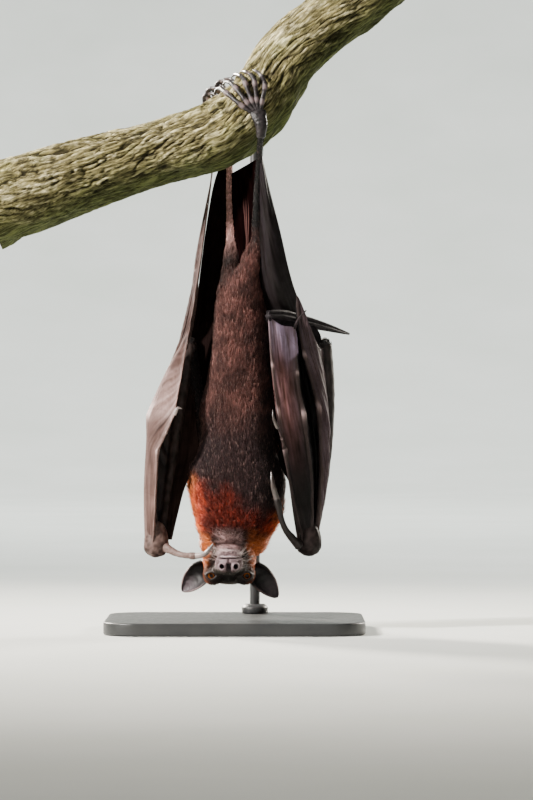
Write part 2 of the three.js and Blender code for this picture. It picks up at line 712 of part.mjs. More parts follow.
// Ridges for the fingers that lie on the skin's first, third and fifth places.
function ridged(names, places) {
  const profile = smooth(FINGER);
  return (u, v) => {
    const at = u * (places - 1);
    const nearest = Math.min(Math.round(at / 2), names.length - 1);
    const off = Math.abs(at - 2 * nearest) / RIDGE;
    const bone = 2 * FINGER_RADIUS[names[nearest]] * profile(v)[0];
    return lerp(Math.max(bone, MEMBRANE), MEMBRANE, Math.min(off, 1) ** 2);
  };
}

// The wrist: blunt below and drawn out upward.
function wristSolid(centre, grow) {
  return shaped(new THREE.SphereGeometry(1, 12, 10), (x, y, z) => {
    const high = y > 0 ? WRIST_RISE : WRIST.z;
    return V(
      centre.x + (WRIST.x + grow) * x,
      centre.y + (WRIST.y + grow) * z,
      centre.z + (high + grow) * y,
    );
  });
}

// Fingers and the skin between them, from the wrist out to their tips and back to the forearm.
function handSolid({ wrist, digits, forearm, folds, furledEnd, fourthEnd }, grow = 0) {
  const { second, third, fourth, fifth } = Object.fromEntries(
    Object.entries(digits).map(([name, bones]) => [name, finger(bones)]),
  );
  const arm = along(forearm.slice().reverse());
  const places = [
    third,
    foldBetween(third, fourth, folds.thirdFourth),
    fourth,
    foldBetween(fourth, fifth, folds.fourthFifth),
    fifth,
    foldBetween(fifth, arm, folds.fifthArm),
    arm,
  ];
  const columns = [0, 0.15, 0.3, 1, 1.7, 2, 2.3, 3, 3.7, 4, 4.3, 5, 6].map((place) => place / 6);
  const rows = [0, 0.12, 0.25, 0.38, 0.45, 0.51, 0.6, 0.68, 0.73, 0.79, 0.9, 1];
  const thick = ridged(["third", "fourth", "fifth"], places.length);
  const main = sheet(columns, rows, through(places), thick, grow);
  const beside = (t) => third(lerp(...FRONT_SKIN, t));
  const frontThick = ridged(["second"], 2);
  const edge = sheet([0, 0.15, 0.3, 0.65, 1], evenly(8), through([second, beside]), frontThick, grow);
  const knob = wristSolid(wrist, grow);
  const furled = furledEnd ? [furledSolid(furledEnd, grow)] : [];
  const tip = fourthEnd ? [limb(line(fourthEnd), FINGER_END, 6, 3, { grow })] : [];
  return fuse(knob, main, edge, furled, tip);
}

// The third finger's last bone with its skin furled round it like an umbrella's.
function furledSolid(points, grow = 0) {
  const curve = line(points);
  const reach = smooth(FURLED);
  return loft(12, 7, (angle, t, rho) => {
    const [wide, high] = reach(t);
    const flute = 1 + FLUTE_DEPTH * Math.cos(FLUTES * angle);
    const tangent = curve.getTangentAt(t);
    const across = V(0, 0, 1).cross(tangent).normalize();
    return curve
      .getPointAt(t)
      .addScaledVector(across, (wide * flute + grow) * rho * Math.cos(angle))
      .addScaledVector(V(0, 0, 1), (high * flute + grow) * rho * Math.sin(angle))
      .addScaledVector(tangent, rho === 0 ? (t > 0.5 ? 1 : -1) * (1 + grow) : 0);
  });
}

const upperArmSolid = (wing, grow = 0) => limb(line(wing.upperArm), UPPER_ARM, 10, 6, { grow });
const forearmSolid = (wing, grow = 0) => limb(line(wing.forearm), FOREARM, 10, 7, { grow });
const thumbSolid = (wing, grow = 0) => limb(line(wing.thumb), THUMB, 8, 5, { grow });
const clawSolid = (points, rows, grow = 0) => limb(line(points), rows, 7, 5, { grow, round: 0.3 });

// ---------- stand ----------
function baseSolid() {
  const { width, depth, height, corner, chamfer } = BASE;
  const x = width / 2 - chamfer;
  const y = depth / 2 - chamfer;
  const r = corner - chamfer;
  const outline = new THREE.Shape();
  outline.moveTo(-x + r, -y);
  outline.absarc(x - r, -y + r, r, -Math.PI / 2, 0);
  outline.absarc(x - r, y - r, r, 0, Math.PI / 2);
  outline.absarc(-x + r, y - r, r, Math.PI / 2, Math.PI);
  outline.absarc(-x + r, -y + r, r, Math.PI, 1.5 * Math.PI);
  const plate = new THREE.ExtrudeGeometry(outline, {
    depth: height - 2 * chamfer,
    bevelSize: chamfer,
    bevelThickness: chamfer,
    bevelSegments: 1,
    curveSegments: 6,
  });
  return solid(plate.translate(0, 0, chamfer));
}

// An upright round bar, by the rings of its profile as [radius, height], round the rod's axis.
function turned(rings, sides) {
  const profile = rings.map(([r, z]) => new THREE.Vector2(r, z));
  return solid(new THREE.LatheGeometry(profile, sides).rotateX(Math.PI / 2).translate(ROD_X, ROD_Y, 0));
}

function rodSolid(grow = 0) {
  const r = ROD_RADIUS + grow;
  const low = ROD_FOOT - grow;
  const high = ARM_HEIGHT + CLAMP.height / 4 + grow;
  return turned([[0, low], [r, low], [r, high], [0, high]], 16);
}

// The arm from the rod's top into the back of the branch, with the block that holds it on the rod.
function armSolid(grow = 0) {
  const ends = [V(ROD_X, ROD_Y, ARM_HEIGHT), V(ROD_X, ARM_END_Y - grow, ARM_HEIGHT)];
  const bar = limb(new THREE.LineCurve3(...ends), [[0, ROD_RADIUS], [1, ROD_RADIUS]], 14, 1, {
    grow,
    round: 0,
    across: V(1, 0, 0),
  });
  const r = CLAMP.radius + grow;
  const low = ARM_HEIGHT - CLAMP.height / 2;
  const high = ARM_HEIGHT + CLAMP.height / 2;
  return fuse(bar, turned([[0, low], [r, low], [r, high], [0, high]], 16));
}

function collarSolid() {
  const inner = ROD_RADIUS + GAP;
  const low = BASE.height + GAP;
  const { radius, shoulder, rim, height } = COLLAR;
  const top = low + height;
  return turned(
    [[inner, low], [radius, low], [radius, low + rim], [shoulder, top], [inner, top], [inner, low]],
    20,
  );
}

// ---------- the model ----------
const group = new THREE.Group();
const looks = {
  fur: { color: 0x4a2a20, roughness: 0.9 },
  face: { color: 0x3b3230, roughness: 0.75 },
  skin: { color: 0x3d3331, roughness: 0.55 },
  membrane: { color: 0x52433f, roughness: 0.5 },
  claw: { color: 0x8b7a72, roughness: 0.35 },
  eye: { color: 0x7a4312, roughness: 0.08 },
  bark: { color: 0x9a8f72, roughness: 0.95 },
  steel: { color: 0x2b2c2e, roughness: 0.45, metalness: 0.6 },
};

function add(name, look, body) {
  const made = largest(body).getMesh();
  const geometry = new THREE.BufferGeometry();
  geometry.setAttribute("position", new THREE.BufferAttribute(Float32Array.from(made.vertProperties), 3));
  geometry.setIndex(new THREE.BufferAttribute(Uint32Array.from(made.triVerts), 1));
  geometry.computeVertexNormals();
  const mesh = new THREE.Mesh(geometry, new THREE.MeshStandardMaterial(looks[look]));
  mesh.name = name;
  group.add(mesh);
}

const trunkGrown = trunkSolid(GAP);
const headGrown = headSolid(GAP);
const branchGrown = branchSolid(GAP);
const bodyWhole = fuse(trunkSolid(), headSolid());
const faceward = halfSpace(NECK_CUT.point, NECK_CUT.normal);
const rumpwardPoint = NECK_CUT.point.clone().addScaledVector(NECK_CUT.normal, -GAP);
const rumpward = halfSpace(rumpwardPoint, NECK_CUT.normal.clone().negate());
add("head", "face", bodyWhole.intersect(faceward));
add("torso", "fur", bodyWhole.intersect(rumpward));
for (const [name, side] of Object.entries({ left: -1, right: 1 })) {
  add(`eye_${name}`, "eye", eyeBall(side, EYE_RADIUS));
  add(`ear_${name}`, "skin", cut(earSolid(side, ears[name].root, ears[name].tip), headGrown, trunkGrown));
}
const legsGrown = Object.values(legs).map((leg) => legSolid(leg, GAP));
const feetGrown = Object.keys(legs).map((name) => footSolid(name, GAP));
const hangingTools = [legsGrown, feetGrown, branchGrown].flat();
for (const [name, leg] of Object.entries(legs)) {
  add(`leg_${name}`, "fur", cut(legSolid(leg), trunkGrown, branchGrown));
  add(`foot_${name}`, "skin", cut(footSolid(name), legSolid(leg, GAP), branchGrown));
}
for (const [name, wing] of Object.entries(wings)) {
  const armGrown = fuse(upperArmSolid(wing, GAP), forearmSolid(wing, GAP));
  const handGrown = handSolid(wing, GAP);
  const thumbGrown = thumbSolid(wing, GAP);
  const torsoTools = [trunkGrown, headGrown];
  add(`upper_arm_${name}`, "fur", cut(upperArmSolid(wing), trunkGrown));
  add(`forearm_${name}`, "skin", cut(forearmSolid(wing), trunkGrown, upperArmSolid(wing, GAP)));
  add(`hand_${name}`, "membrane", cut(handSolid(wing), armGrown, torsoTools));
  add(`thumb_${name}`, "skin", cut(thumbSolid(wing), handGrown, armGrown, torsoTools));
  add(`thumb_claw_${name}`, "claw", cut(clawSolid(wing.thumbClaw, THUMB_CLAW), thumbGrown, torsoTools));
  add(`index_claw_${name}`, "claw", cut(clawSolid(wing.indexClaw, INDEX_CLAW), handGrown, torsoTools));
  const front = sheet(evenly(3), evenly(9), through([along(wing.forearm), along(wing.front)]), even);
  add(`shoulder_membrane_${name}`, "membrane", cut(front, armGrown, handGrown, thumbGrown, torsoTools));
  const flank = sheet(evenly(4), evenly(13), through([wing.trailing, wing.fold, wing.root].map(along)), even);
  const flankTools = [armGrown, handGrown, torsoTools, hangingTools];
  add(`flank_membrane_${name}`, "membrane", cut(flank, flankTools.flat()));
}
const tailEdges = [along(tailMembrane.left), along(tailMembrane.right)];
const tail = sheet(evenly(3), evenly(6), through(tailEdges), even);
add("tail_membrane", "membrane", cut(tail, trunkGrown, hangingTools));
add("perch", "bark", cut(branchSolid(), armSolid(GAP)));
add("stand_base", "steel", cut(baseSolid(), rodSolid(GAP)));
add("stand_rod", "steel", rodSolid());
add("stand_arm", "steel", cut(armSolid(), rodSolid(GAP)));
add("stand_collar", "steel", collarSolid());

export default group;
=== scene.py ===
"""A large flying fox (fruit bat) hanging from a cut branch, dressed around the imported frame."""

import math

import bpy
import numpy as np
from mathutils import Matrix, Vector, kdtree


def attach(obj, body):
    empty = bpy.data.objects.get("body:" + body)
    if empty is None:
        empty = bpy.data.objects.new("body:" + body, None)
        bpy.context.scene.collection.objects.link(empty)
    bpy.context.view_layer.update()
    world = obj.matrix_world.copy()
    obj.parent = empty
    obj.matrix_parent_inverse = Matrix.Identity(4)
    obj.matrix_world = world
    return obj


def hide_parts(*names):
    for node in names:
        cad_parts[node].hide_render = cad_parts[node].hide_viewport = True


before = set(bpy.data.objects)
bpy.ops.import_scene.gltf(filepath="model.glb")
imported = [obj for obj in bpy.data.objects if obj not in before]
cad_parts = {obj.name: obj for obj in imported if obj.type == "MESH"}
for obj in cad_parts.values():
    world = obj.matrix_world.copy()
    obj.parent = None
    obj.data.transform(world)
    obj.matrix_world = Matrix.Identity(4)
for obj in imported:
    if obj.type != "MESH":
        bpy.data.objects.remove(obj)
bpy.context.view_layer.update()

MM = 0.001  # every length below is in millimetres until a mesh is made
SEED = 7

# ---------- curves, rows and noise ----------


def row_values(rows, x):
    """Smooth values between rows of (position, value, value, ...), as an array of len(x) by values."""
    table = np.array(rows, float)
    at, values = table[:, 0], table[:, 1:]
    x = np.clip(np.asarray(x, float), at[0], at[-1])
    slope = np.gradient(values, at, axis=0)
    i = np.clip(np.searchsorted(at, x, side="right") - 1, 0, len(at) - 2)
    width = (at[i + 1] - at[i])[:, None]
    t = (x - at[i])[:, None] / width
    h00, h10 = (1 + 2 * t) * (1 - t) ** 2, t * (1 - t) ** 2
    h01, h11 = t * t * (3 - 2 * t), t * t * (t - 1)
    return h00 * values[i] + h10 * width * slope[i] + h01 * values[i + 1] + h11 * width * slope[i + 1]


def unit(v):
    return v / np.maximum(np.linalg.norm(v, axis=-1, keepdims=True), 1e-9)


def curve(p0, p1, p2, p3, t):
    """The centripetal curve from p1 (t = 0) to p2 (t = 1), between the points before and after them."""
    pairs = ((p0, p1), (p1, p2), (p2, p3))
    d = [np.maximum(np.linalg.norm(b - a, axis=-1, keepdims=True) ** 0.5, 1e-3) for a, b in pairs]
    a = ((p1 - p0) / d[0] - (p2 - p0) / (d[0] + d[1]) + (p2 - p1) / d[1]) * d[1]
    b = ((p2 - p1) / d[1] - (p3 - p1) / (d[1] + d[2]) + (p3 - p2) / d[2]) * d[1]
    return p1 + a * t + (3 * (p2 - p1) - 2 * a - b) * t**2 + (2 * (p1 - p2) + a + b) * t**3


class Line:
    """A smooth line through points, read by share of its length."""

    def __init__(self, points, fine=40):
        p = np.array(points, float)
        p = np.vstack([2 * p[0] - p[1], p, 2 * p[-1] - p[-2]])
        t = (np.arange(fine) / fine)[:, None]
        parts = [curve(*p[i : i + 4], t) for i in range(len(p) - 3)]
        self.table = np.vstack(parts + [p[-2][None]])
        step = np.linalg.norm(np.diff(self.table, axis=0), axis=1)
        self.length = step.sum()
        self.share = np.concatenate([[0], np.cumsum(step)]) / max(self.length, 1e-9)

    def along(self, share):
        share = np.atleast_1d(share)
        return np.stack([np.interp(share, self.share, self.table[:, k]) for k in range(3)], axis=1)

    def direction(self, share):
        near = 0.004
        share = np.atleast_1d(share)
        return unit(self.along(np.minimum(share + near, 1)) - self.along(np.maximum(share - near, 0)))


def ramp(x, low, high):
    """0 below low, 1 above high and smooth between them."""
    t = np.clip((x - low) / (high - low), 0, 1)
    return t * t * (3 - 2 * t)


def bell(x, wide, at=0.0, power=2):
    """1 at a place and falling to 0 over a width on both sides of it."""
    return np.exp(-(((x - at) / wide) ** power))


def mix(a, b, share):
    return a + (b - a) * share


def laid(tone, colour, share):
    """A tone at each point with a colour laid over it by a share, 0 to 1."""
    return mix(tone, colour, share[..., None])


def noise(points, seed=0):
    """Smooth gradient noise, about -0.7 to 0.7, at points (N, 3)."""
    p = np.asarray(points, float)
    cell = np.floor(p).astype(np.int64)
    f = p - cell
    w = f * f * f * (f * (f * 6 - 15) + 10)
    total = np.zeros(len(p))
    for corner in np.ndindex(2, 2, 2):
        c = cell + corner
        h = c[:, 0] * 374761393 + c[:, 1] * 668265263 + c[:, 2] * 1274126177 + seed * 144665
        h = (h ^ (h >> 13)) * 1103515245 & 0x7FFFFFFF
        angle = (h & 1023) * (2 * math.pi / 1024)
        height = ((h >> 10) & 1023) / 511.5 - 1
        flat = np.sqrt(1 - height**2)
        away = f - corner
        slope = away[:, 0] * flat * np.cos(angle) + away[:, 1] * flat * np.sin(angle) + away[:, 2] * height
        side = [w[:, k] if corner[k] else 1 - w[:, k] for k in range(3)]
        total += slope * side[0] * side[1] * side[2]
    return total


def layers(points, count, seed=0):
    """Noise of several sizes, each half as large and as strong as the one before."""
    p = np.asarray(points, float)
    return sum(noise(p * 2**k, seed + 17 * k) / 2**k for k in range(count))


def mottled(points, size, seed, low=-0.4, high=0.4):
    """Patches of noise, 0 to 1, as a column that colours can be mixed by."""
    return ramp(layers(points / np.array(size), 3, seed), low, high)[:, None]


def grid(*marks):
    """The places of a grid, one flat array for each of its sides."""
    return [g.ravel() for g in np.meshgrid(*marks, indexing="ij")]


def around(sides):
    return np.linspace(0, 2 * math.pi, sides, endpoint=False)


def linear(*rgb):
    """A colour given as sRGB 0-255, in linear light."""
    c = np.array(rgb, float) / 255
    return np.where(c <= 0.04045, c / 12.92, ((c + 0.055) / 1.055) ** 2.4)


def palette(**colours):
    """Named sRGB colours in linear light."""
    return {name: linear(*rgb) for name, rgb in colours.items()}


# ---------- meshes ----------


def linked(name, data):
    obj = bpy.data.objects.new(name, data)
    bpy.context.scene.collection.objects.link(obj)
    return obj


def make_object(name, points, faces, look, nodes=(), tone=None, extra=None):
    """A piece from points and a list of face arrays. tone is a colour for each point, in linear light."""
    slot, material = LOOKS[look]
    mesh = bpy.data.meshes.new(name)
    loops = np.concatenate([f.ravel() for f in faces]).astype(np.int32)
    sizes = np.concatenate([np.full(len(f), f.shape[1]) for f in faces])
    mesh.vertices.add(len(points))
    mesh.vertices.foreach_set("co", (points * MM).ravel())
    mesh.loops.add(len(loops))
    mesh.loops.foreach_set("vertex_index", loops)
    mesh.polygons.add(len(sizes))
    mesh.polygons.foreach_set("loop_start", np.concatenate([[0], np.cumsum(sizes)[:-1]]).astype(np.int32))
    mesh.update(calc_edges=True)
    mesh.validate()
    mesh.polygons.foreach_set("use_smooth", np.ones(len(mesh.polygons), bool))
    if tone is not None:
        data = mesh.color_attributes.new("tone", "FLOAT_COLOR", "POINT").data
        data.foreach_set("color", np.hstack([tone, np.ones((len(tone), 1))]).ravel())
    for key, values in (extra or {}).items():
        mesh.attributes.new(key, "FLOAT", "POINT").data.foreach_set("value", values)
    mesh.materials.append(material)
    obj = linked(name, mesh)
    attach(obj, "root")
    if nodes:
        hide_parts(*nodes)
    return obj


class Body:
    """Points, faces and tones of several closed shells that make one piece."""

    def __init__(self):
        self.points, self.faces, self.tones, self.count = [], [], [], 0

    def add(self, points, faces, tone=None):
        self.points.append(points)
        self.faces += [f + self.count for f in faces]
        if tone is not None:
            self.tones.append(np.broadcast_to(tone, (len(points), 3)))
        self.count += len(points)
        return self

    def made(self, name, look, nodes=()):
        tone = np.vstack(self.tones) if self.tones else None
        return make_object(name, np.vstack(self.points), self.faces, look, nodes, tone)


def ring_faces(rings, sides):
    """The side faces of rings of points laid one after another, with the last side joined to the first."""
    i, j = np.meshgrid(np.arange(rings - 1), np.arange(sides), indexing="ij")
    here, there = i * sides + j, i * sides + (j + 1) % sides
    return np.stack([here, there, there + sides, here + sides], axis=-1).reshape(-1, 4)


def capped(rings, first=None, last=None, flip=False):
    """Points and faces of a shell from an array of rings, closed at each end where a point is given."""
    count, sides = rings.shape[:2]
    points, faces = [rings.reshape(-1, 3)], [ring_faces(count, sides)]
    j = np.arange(sides)
    after = (j + 1) % sides
    end_row = (count - 1) * sides
    for end, one, other in ((first, after, j), (last, end_row + j, end_row + after)):
        if end is not None:
            number = sum(len(part) for part in points)
            points.append(np.array([end], float))
            faces.append(np.stack([one, other, np.full(sides, number)], axis=1))
    if flip:
        faces = [f[:, ::-1] for f in faces]
    return np.vstack(points), faces


def tube(line, radii, sides=20, steps=60, side_way=(0, 1, 0), bumps=None, tip=0.5):
    """A limb along a line. radii are rows of (share, radius, radius across). Returns points and faces."""
    lead = 0.12 / steps
    share = np.clip(np.linspace(0, 1, steps + 1), lead, 1 - lead)
    centre, tangent = line.along(share), line.direction(share)
    side_way = np.array(side_way, float)
    side = unit(side_way - tangent * (tangent @ side_way)[:, None])
    up = np.cross(tangent, side)
    values = row_values(radii, share)
    tall, wide = values[:, 0], values[:, -1]
    angle = around(sides)
    grow = 1 + (bumps(share[:, None], angle[None]) if bumps else 0)
    reach = up[:, None] * (tall[:, None] * np.cos(angle) * grow)[..., None]
    reach = reach + side[:, None] * (wide[:, None] * np.sin(angle) * grow)[..., None]
    tips, closing = [], []
    for end, sign in ((0, -1), (-1, 1)):
        for part in (0.75, 0.4):
            lift = sign * tip * tall[end] * math.sqrt(1 - part**2)
            tips.append(centre[end] + reach[end] * part + tangent[end] * lift)
        closing.append(centre[end] + sign * tangent[end] * tip * tall[end])
    rings = np.stack([tips[1], tips[0], *(centre[:, None] + reach), tips[2], tips[3]])
    return capped(rings, *closing)


def sheet(middle, half):
    """A closed two-sided skin. middle is rows by columns of points, half is its half thickness there."""
    normal = unit(np.cross(np.gradient(middle, axis=1), np.gradient(middle, axis=0)))
    rows, columns = half.shape
    front = middle + normal * half[..., None]
    back = middle - normal * half[..., None]
    points = np.vstack([front.reshape(-1, 3), back.reshape(-1, 3)])
    count = rows * columns
    i, j = np.meshgrid(np.arange(rows - 1), np.arange(columns - 1), indexing="ij")
    a = i * columns + j
    quads = np.stack([a, a + 1, a + columns + 1, a + columns], axis=-1).reshape(-1, 4)
    number = np.arange(count).reshape(rows, columns)
    ring = np.concatenate([number[0, :-1], number[:-1, -1], number[-1, :0:-1], number[:0:-1, 0]])
    after = np.roll(ring, -1)
    edge = np.stack([ring, ring + count, after + count, after], axis=1)
    return points, [quads, quads[:, ::-1] + count, edge]


# ---------- materials ----------

BLACK, WHITE = (0, 0, 0), (255, 255, 255)


class Nodes:
    """Short ways to lay out a material's nodes."""

    def __init__(self, name):
        self.material = bpy.data.materials.new(name)
        self.material.use_nodes = True
        self.tree = self.material.node_tree
        self.shader = self.tree.nodes["Principled BSDF"]

    def put(self, socket, value):
        if isinstance(value, bpy.types.NodeSocket):
            self.tree.links.new(value, socket)
        else:
            socket.default_value = value

    def node(self, kind, *values, settings=(), **inputs):
        """A node with settings, its first inputs in order and other inputs by name."""
        made = self.tree.nodes.new("ShaderNode" + kind)
        for key, value in dict(settings).items():
            setattr(made, key, value)
        for socket, value in zip(made.inputs, values):
            self.put(socket, value)
        for key, value in inputs.items():
            self.put(made.inputs[key.replace("_", " ")], value)
        return made

    def place(self, scale=(1, 1, 1)):
        """The point in the object's own space, in metres times scale."""
        coordinates = self.node("TexCoord")
        return self.node("Mapping", Vector=coordinates.outputs["Object"], Scale=scale).outputs["Vector"]

    def noise(self, scale, detail=4.0, rough=0.55, stretch=(1, 1, 1), distortion=0.0):
        where = self.place(stretch)
        sizes = {"Scale": scale, "Detail": detail, "Roughness": rough, "Distortion": distortion}
        return self.node("TexNoise", Vector=where, **sizes).outputs["Fac"]

    def cells(self, scale, where):
        """The distance to the nearest edge between cells."""
        made = self.node("TexVoronoi", settings={"feature": "DISTANCE_TO_EDGE"}, Vector=where, Scale=scale)
        return made.outputs["Distance"]

    def attribute(self, name, output="Color"):
        return self.node("Attribute", settings={"attribute_name": name}).outputs[output]

    def remap(self, value, low, high, to_low=0.0, to_high=1.0):
        return self.node("MapRange", value, low, high, to_low, to_high).outputs["Result"]

    def math(self, kind, a, b=0.0):
        return self.node("Math", a, b, settings={"operation": kind}).outputs[0]

    def blend(self, factor, a, b, kind="MIX"):
        made = self.node("Mix", factor, settings={"data_type": "RGBA", "blend_type": kind})
        self.put(made.inputs[6], a)
        self.put(made.inputs[7], b)
        return made.outputs[2]

    def times(self, a, b):
        return self.blend(1.0, a, b, "MULTIPLY")

    def colours(self, value, *stops):
        """A colour ramp. stops are (place, sRGB colour)."""
        made = self.node("ValToRGB", value)
        elements = made.color_ramp.elements
        while len(elements) < len(stops):
            elements.new(1.0)
        for element, (at, rgb) in zip(elements, stops):
            element.position = at
            element.color = (*linear(*rgb), 1)
        return made.outputs["Color"]

    def bump(self, height, strength, distance, normal=None):
        made = self.node("Bump", Height=height, Strength=strength, Distance=distance)
        if normal is not None:
            self.put(made.inputs["Normal"], normal)
        return made.outputs["Normal"]

    def finish(self, **sockets):
        for key, value in sockets.items():
            self.put(self.shader.inputs[key.replace("_", " ")], value)
        return self.material


def fur_material(name):
    m = Nodes(name)
    tone = m.attribute("tone")
    speck = m.remap(m.noise(900, 2), 0.3, 0.7, 0.82, 1.18)
    specked = m.times(tone, m.colours(speck, (0, BLACK), (1, WHITE)))
    return m.finish(Base_Color=m.blend(0.35, tone, specked), Roughness=0.5, Specular_IOR_Level=0.22)


def skin_material(name, wrinkle=900.0, rough=0.55, strength=0.35):
    """Bare skin: fine creases, soft mottling and a low gloss."""
    m = Nodes(name)
    tone = m.attribute("tone")
    darker = m.times(tone, (0.45, 0.42, 0.42, 1))
    normal = m.bump(m.noise(wrinkle * 0.5, 3, 0.5, distortion=1.2), strength, 0.0006)
    return m.finish(
        Base_Color=m.blend(m.remap(m.noise(160, 6, 0.6), 0.3, 0.7, 0.0, 0.5), tone, darker),
        Roughness=m.remap(m.noise(420, 4), 0.3, 0.7, rough - 0.1, rough + 0.14),
        Specular_IOR_Level=0.4,
        Normal=m.bump(m.noise(wrinkle * 1.6, 4), strength, 0.0002, normal),
    )


def wing_material(name, gloss):
    """Wing skin: fine lengthwise pleats, faint branching veins and a leathery sheen."""
    m = Nodes(name)
    tone = m.attribute("tone")
    darker = m.times(tone, (0.5, 0.45, 0.44, 1))
    shade = m.blend(m.remap(m.noise(45, 7, 0.62), 0.35, 0.68, 0.0, 0.6), tone, darker)
    veins = m.cells(70, m.place((1.0, 1.0, 0.45)))
    pleats = m.noise(260, 3, 0.5, (1.0, 1.0, 0.12), 0.6)
    return m.finish(
        Base_Color=m.blend(m.remap(veins, 0.0, 0.035, 0.35, 0.0), shade, darker),
        Roughness=m.remap(m.noise(90, 5), 0.3, 0.7, 0.42, 0.66),
        Specular_IOR_Level=gloss,
        Normal=m.bump(m.noise(1400, 2), 0.3, 0.00025, m.bump(pleats, 0.45, 0.0007)),
    )


def claw_material():
    m = Nodes("claw")
    grain = m.noise(500, 4, 0.5, (1, 1, 0.25))
    return m.finish(
        Base_Color=m.blend(m.remap(grain, 0.3, 0.7, 0.0, 0.4), m.attribute("tone"), (0.12, 0.09, 0.08, 1)),
        Roughness=0.32,
        Coat_Weight=0.3,
        Coat_Roughness=0.2,
        Normal=m.bump(grain, 0.25, 0.0003),
    )


def eye_material():
    """Amber iris round a wide pupil, by the angle from the gaze that the mesh carries."""
    m = Nodes("eye")
    streaks = m.remap(m.noise(900, 4, 0.6), 0.3, 0.7, -0.03, 0.03)
    shade = m.colours(
        m.math("ADD", m.attribute("angle", "Fac"), streaks),
        (0.0, (4, 3, 3)),
        (0.14, (6, 4, 3)),
        (0.17, (60, 26, 8)),
        (0.23, (146, 82, 34)),
        (0.33, (92, 48, 22)),
        (0.44, (46, 22, 12)),
        (0.55, (26, 17, 15)),
    )
    gloss = {"Roughness": 0.25, "Coat_Weight": 0.13, "Coat_Roughness": 0.02, "Specular_IOR_Level": 0.05}
    return m.finish(Base_Color=shade, **gloss)


def bark_material():
    """Gnarled bark: fine cracks and grains drawn out along the branch, whose own lie the mesh carries."""
    m = Nodes("bark")
    tone = m.attribute("tone")
    lie = m.node("CombineXYZ", *[m.attribute(f"lie_{axis}", "Fac") for axis in "xyz"]).outputs[0]
    warp = m.node("TexNoise", Vector=lie, Scale=90.0, Detail=3.0).outputs["Color"]
    bent = m.node("VectorMath", warp, (0.006, 0.006, 0.006), settings={"operation": "MULTIPLY"}).outputs[0]
    drawn = m.node("VectorMath", lie, bent, settings={"operation": "ADD"}).outputs[0]
    fibres = m.node("TexNoise", Vector=drawn, Scale=520.0, Detail=6.0, Roughness=0.68).outputs["Fac"]
    cracks = m.cells(260.0, drawn)
    lichen = m.remap(m.noise(38, 4, 0.5), 0.5, 0.68, 0.0, 0.22)
    shade = m.blend(lichen, tone, m.times(tone, (0.75, 0.95, 0.6, 1)))
    # The low grain and the cracks are darkened: partly the bark's own colour and partly painted shade in the
    # hollows that the bumps make.
    deep = m.times(shade, (0.2, 0.18, 0.13, 1))
    shade = m.blend(m.remap(fibres, 0.36, 0.56, 1.0, 0.0), shade, deep)
    shade = m.blend(m.remap(cracks, 0.0, 0.08, 0.3, 0.0), shade, deep)
    # The high grain is lightened: partly the bark's own weathered colour and partly painted light on the
    # raised fibres.
    shade = m.blend(m.remap(fibres, 0.5, 0.66), shade, m.times(shade, (1.7, 1.64, 1.42, 1)))
    normal = m.bump(m.remap(cracks, 0.0, 0.16), 0.4, 0.0008)
    normal = m.bump(fibres, 1.0, 0.0018, normal)
    normal = m.bump(m.noise(1500, 3, 0.7), 0.5, 0.0004, normal)
    return m.finish(Base_Color=shade, Roughness=0.92, Specular_IOR_Level=0.15, Normal=normal)


def wood_material():
    """A sawn end: growth rings round the pith, from the distance that the mesh carries, and saw marks."""
    m = Nodes("sawn_wood")
    wobble = m.remap(m.noise(60, 4), 0.3, 0.7, -0.05, 0.05)
    turn = m.math("MULTIPLY", m.math("ADD", m.attribute("ring", "Fac"), wobble), 95.0)
    wave = m.remap(m.node("Math", turn, settings={"operation": "SINE"}).outputs[0], -1.0, 1.0)
    shade = m.colours(wave, (0.0, (104, 70, 38)), (0.6, (168, 128, 78)), (1.0, (188, 150, 98)))
    saw = m.noise(300, 3, 0.5, (1.0, 1.0, 0.1))
    return m.finish(Base_Color=shade, Roughness=0.75, Normal=m.bump(saw, 0.5, 0.0004))


def paint_material():
    """Satin black powder coat with a trace of dust."""
    m = Nodes("stand_paint")
    dust = m.remap(m.noise(30, 5), 0.35, 0.7)
    return m.finish(
        Base_Color=m.blend(dust, (0.018, 0.019, 0.02, 1), (0.034, 0.034, 0.034, 1)),
        Roughness=m.remap(m.noise(200, 4), 0.3, 0.7, 0.36, 0.5),
        Normal=m.bump(m.noise(1500, 3), 0.15, 0.0002),
    )


def floor_material():
    m = Nodes("floor")
    shade = m.blend(m.remap(m.noise(3, 3), 0.3, 0.7), (0.62, 0.64, 0.6, 1), (0.68, 0.69, 0.66, 1))
    return m.finish(Base_Color=shade, Roughness=0.85, Specular_IOR_Level=0.15)


# Looks: the record's slot and the material.
LOOKS = {
    "fur": ("fur", fur_material("fur")),
    "mantle": ("mantle", fur_material("mantle")),
    "skin": ("bare_skin", skin_material("bare_skin")),
    "foot": ("bare_skin", skin_material("foot_skin", 700.0, 0.42, 0.6)),
    "wing": ("wing_skin", wing_material("wing_skin", 0.24)),
    "dull_wing": ("wing_skin", wing_material("dull_wing_skin", 0.1)),
    "tail": ("wing_skin", wing_material("tail_skin", 0.08)),
    "matt_wing": ("wing_skin", wing_material("matt_wing_skin", 0.0)),
    "claw": ("claw", claw_material()),
    "eye": ("eye", eye_material()),
    "bark": ("bark", bark_material()),
    "wood": ("bark", wood_material()),
    "paint": ("stand_paint", paint_material()),
}

# ---------- the camera, light and floor ----------

PIXEL = 0.97  # how many millimetres one of the photo's pixels spans at the bat
FRAME_SIZE = (533, 800)
AXIS_COLUMN = 235  # the photo's column through X = 0
FLOOR_ROW = 630  # the photo's row at Z = 0
CAMERA_DISTANCE = 4000
SENSOR = 36
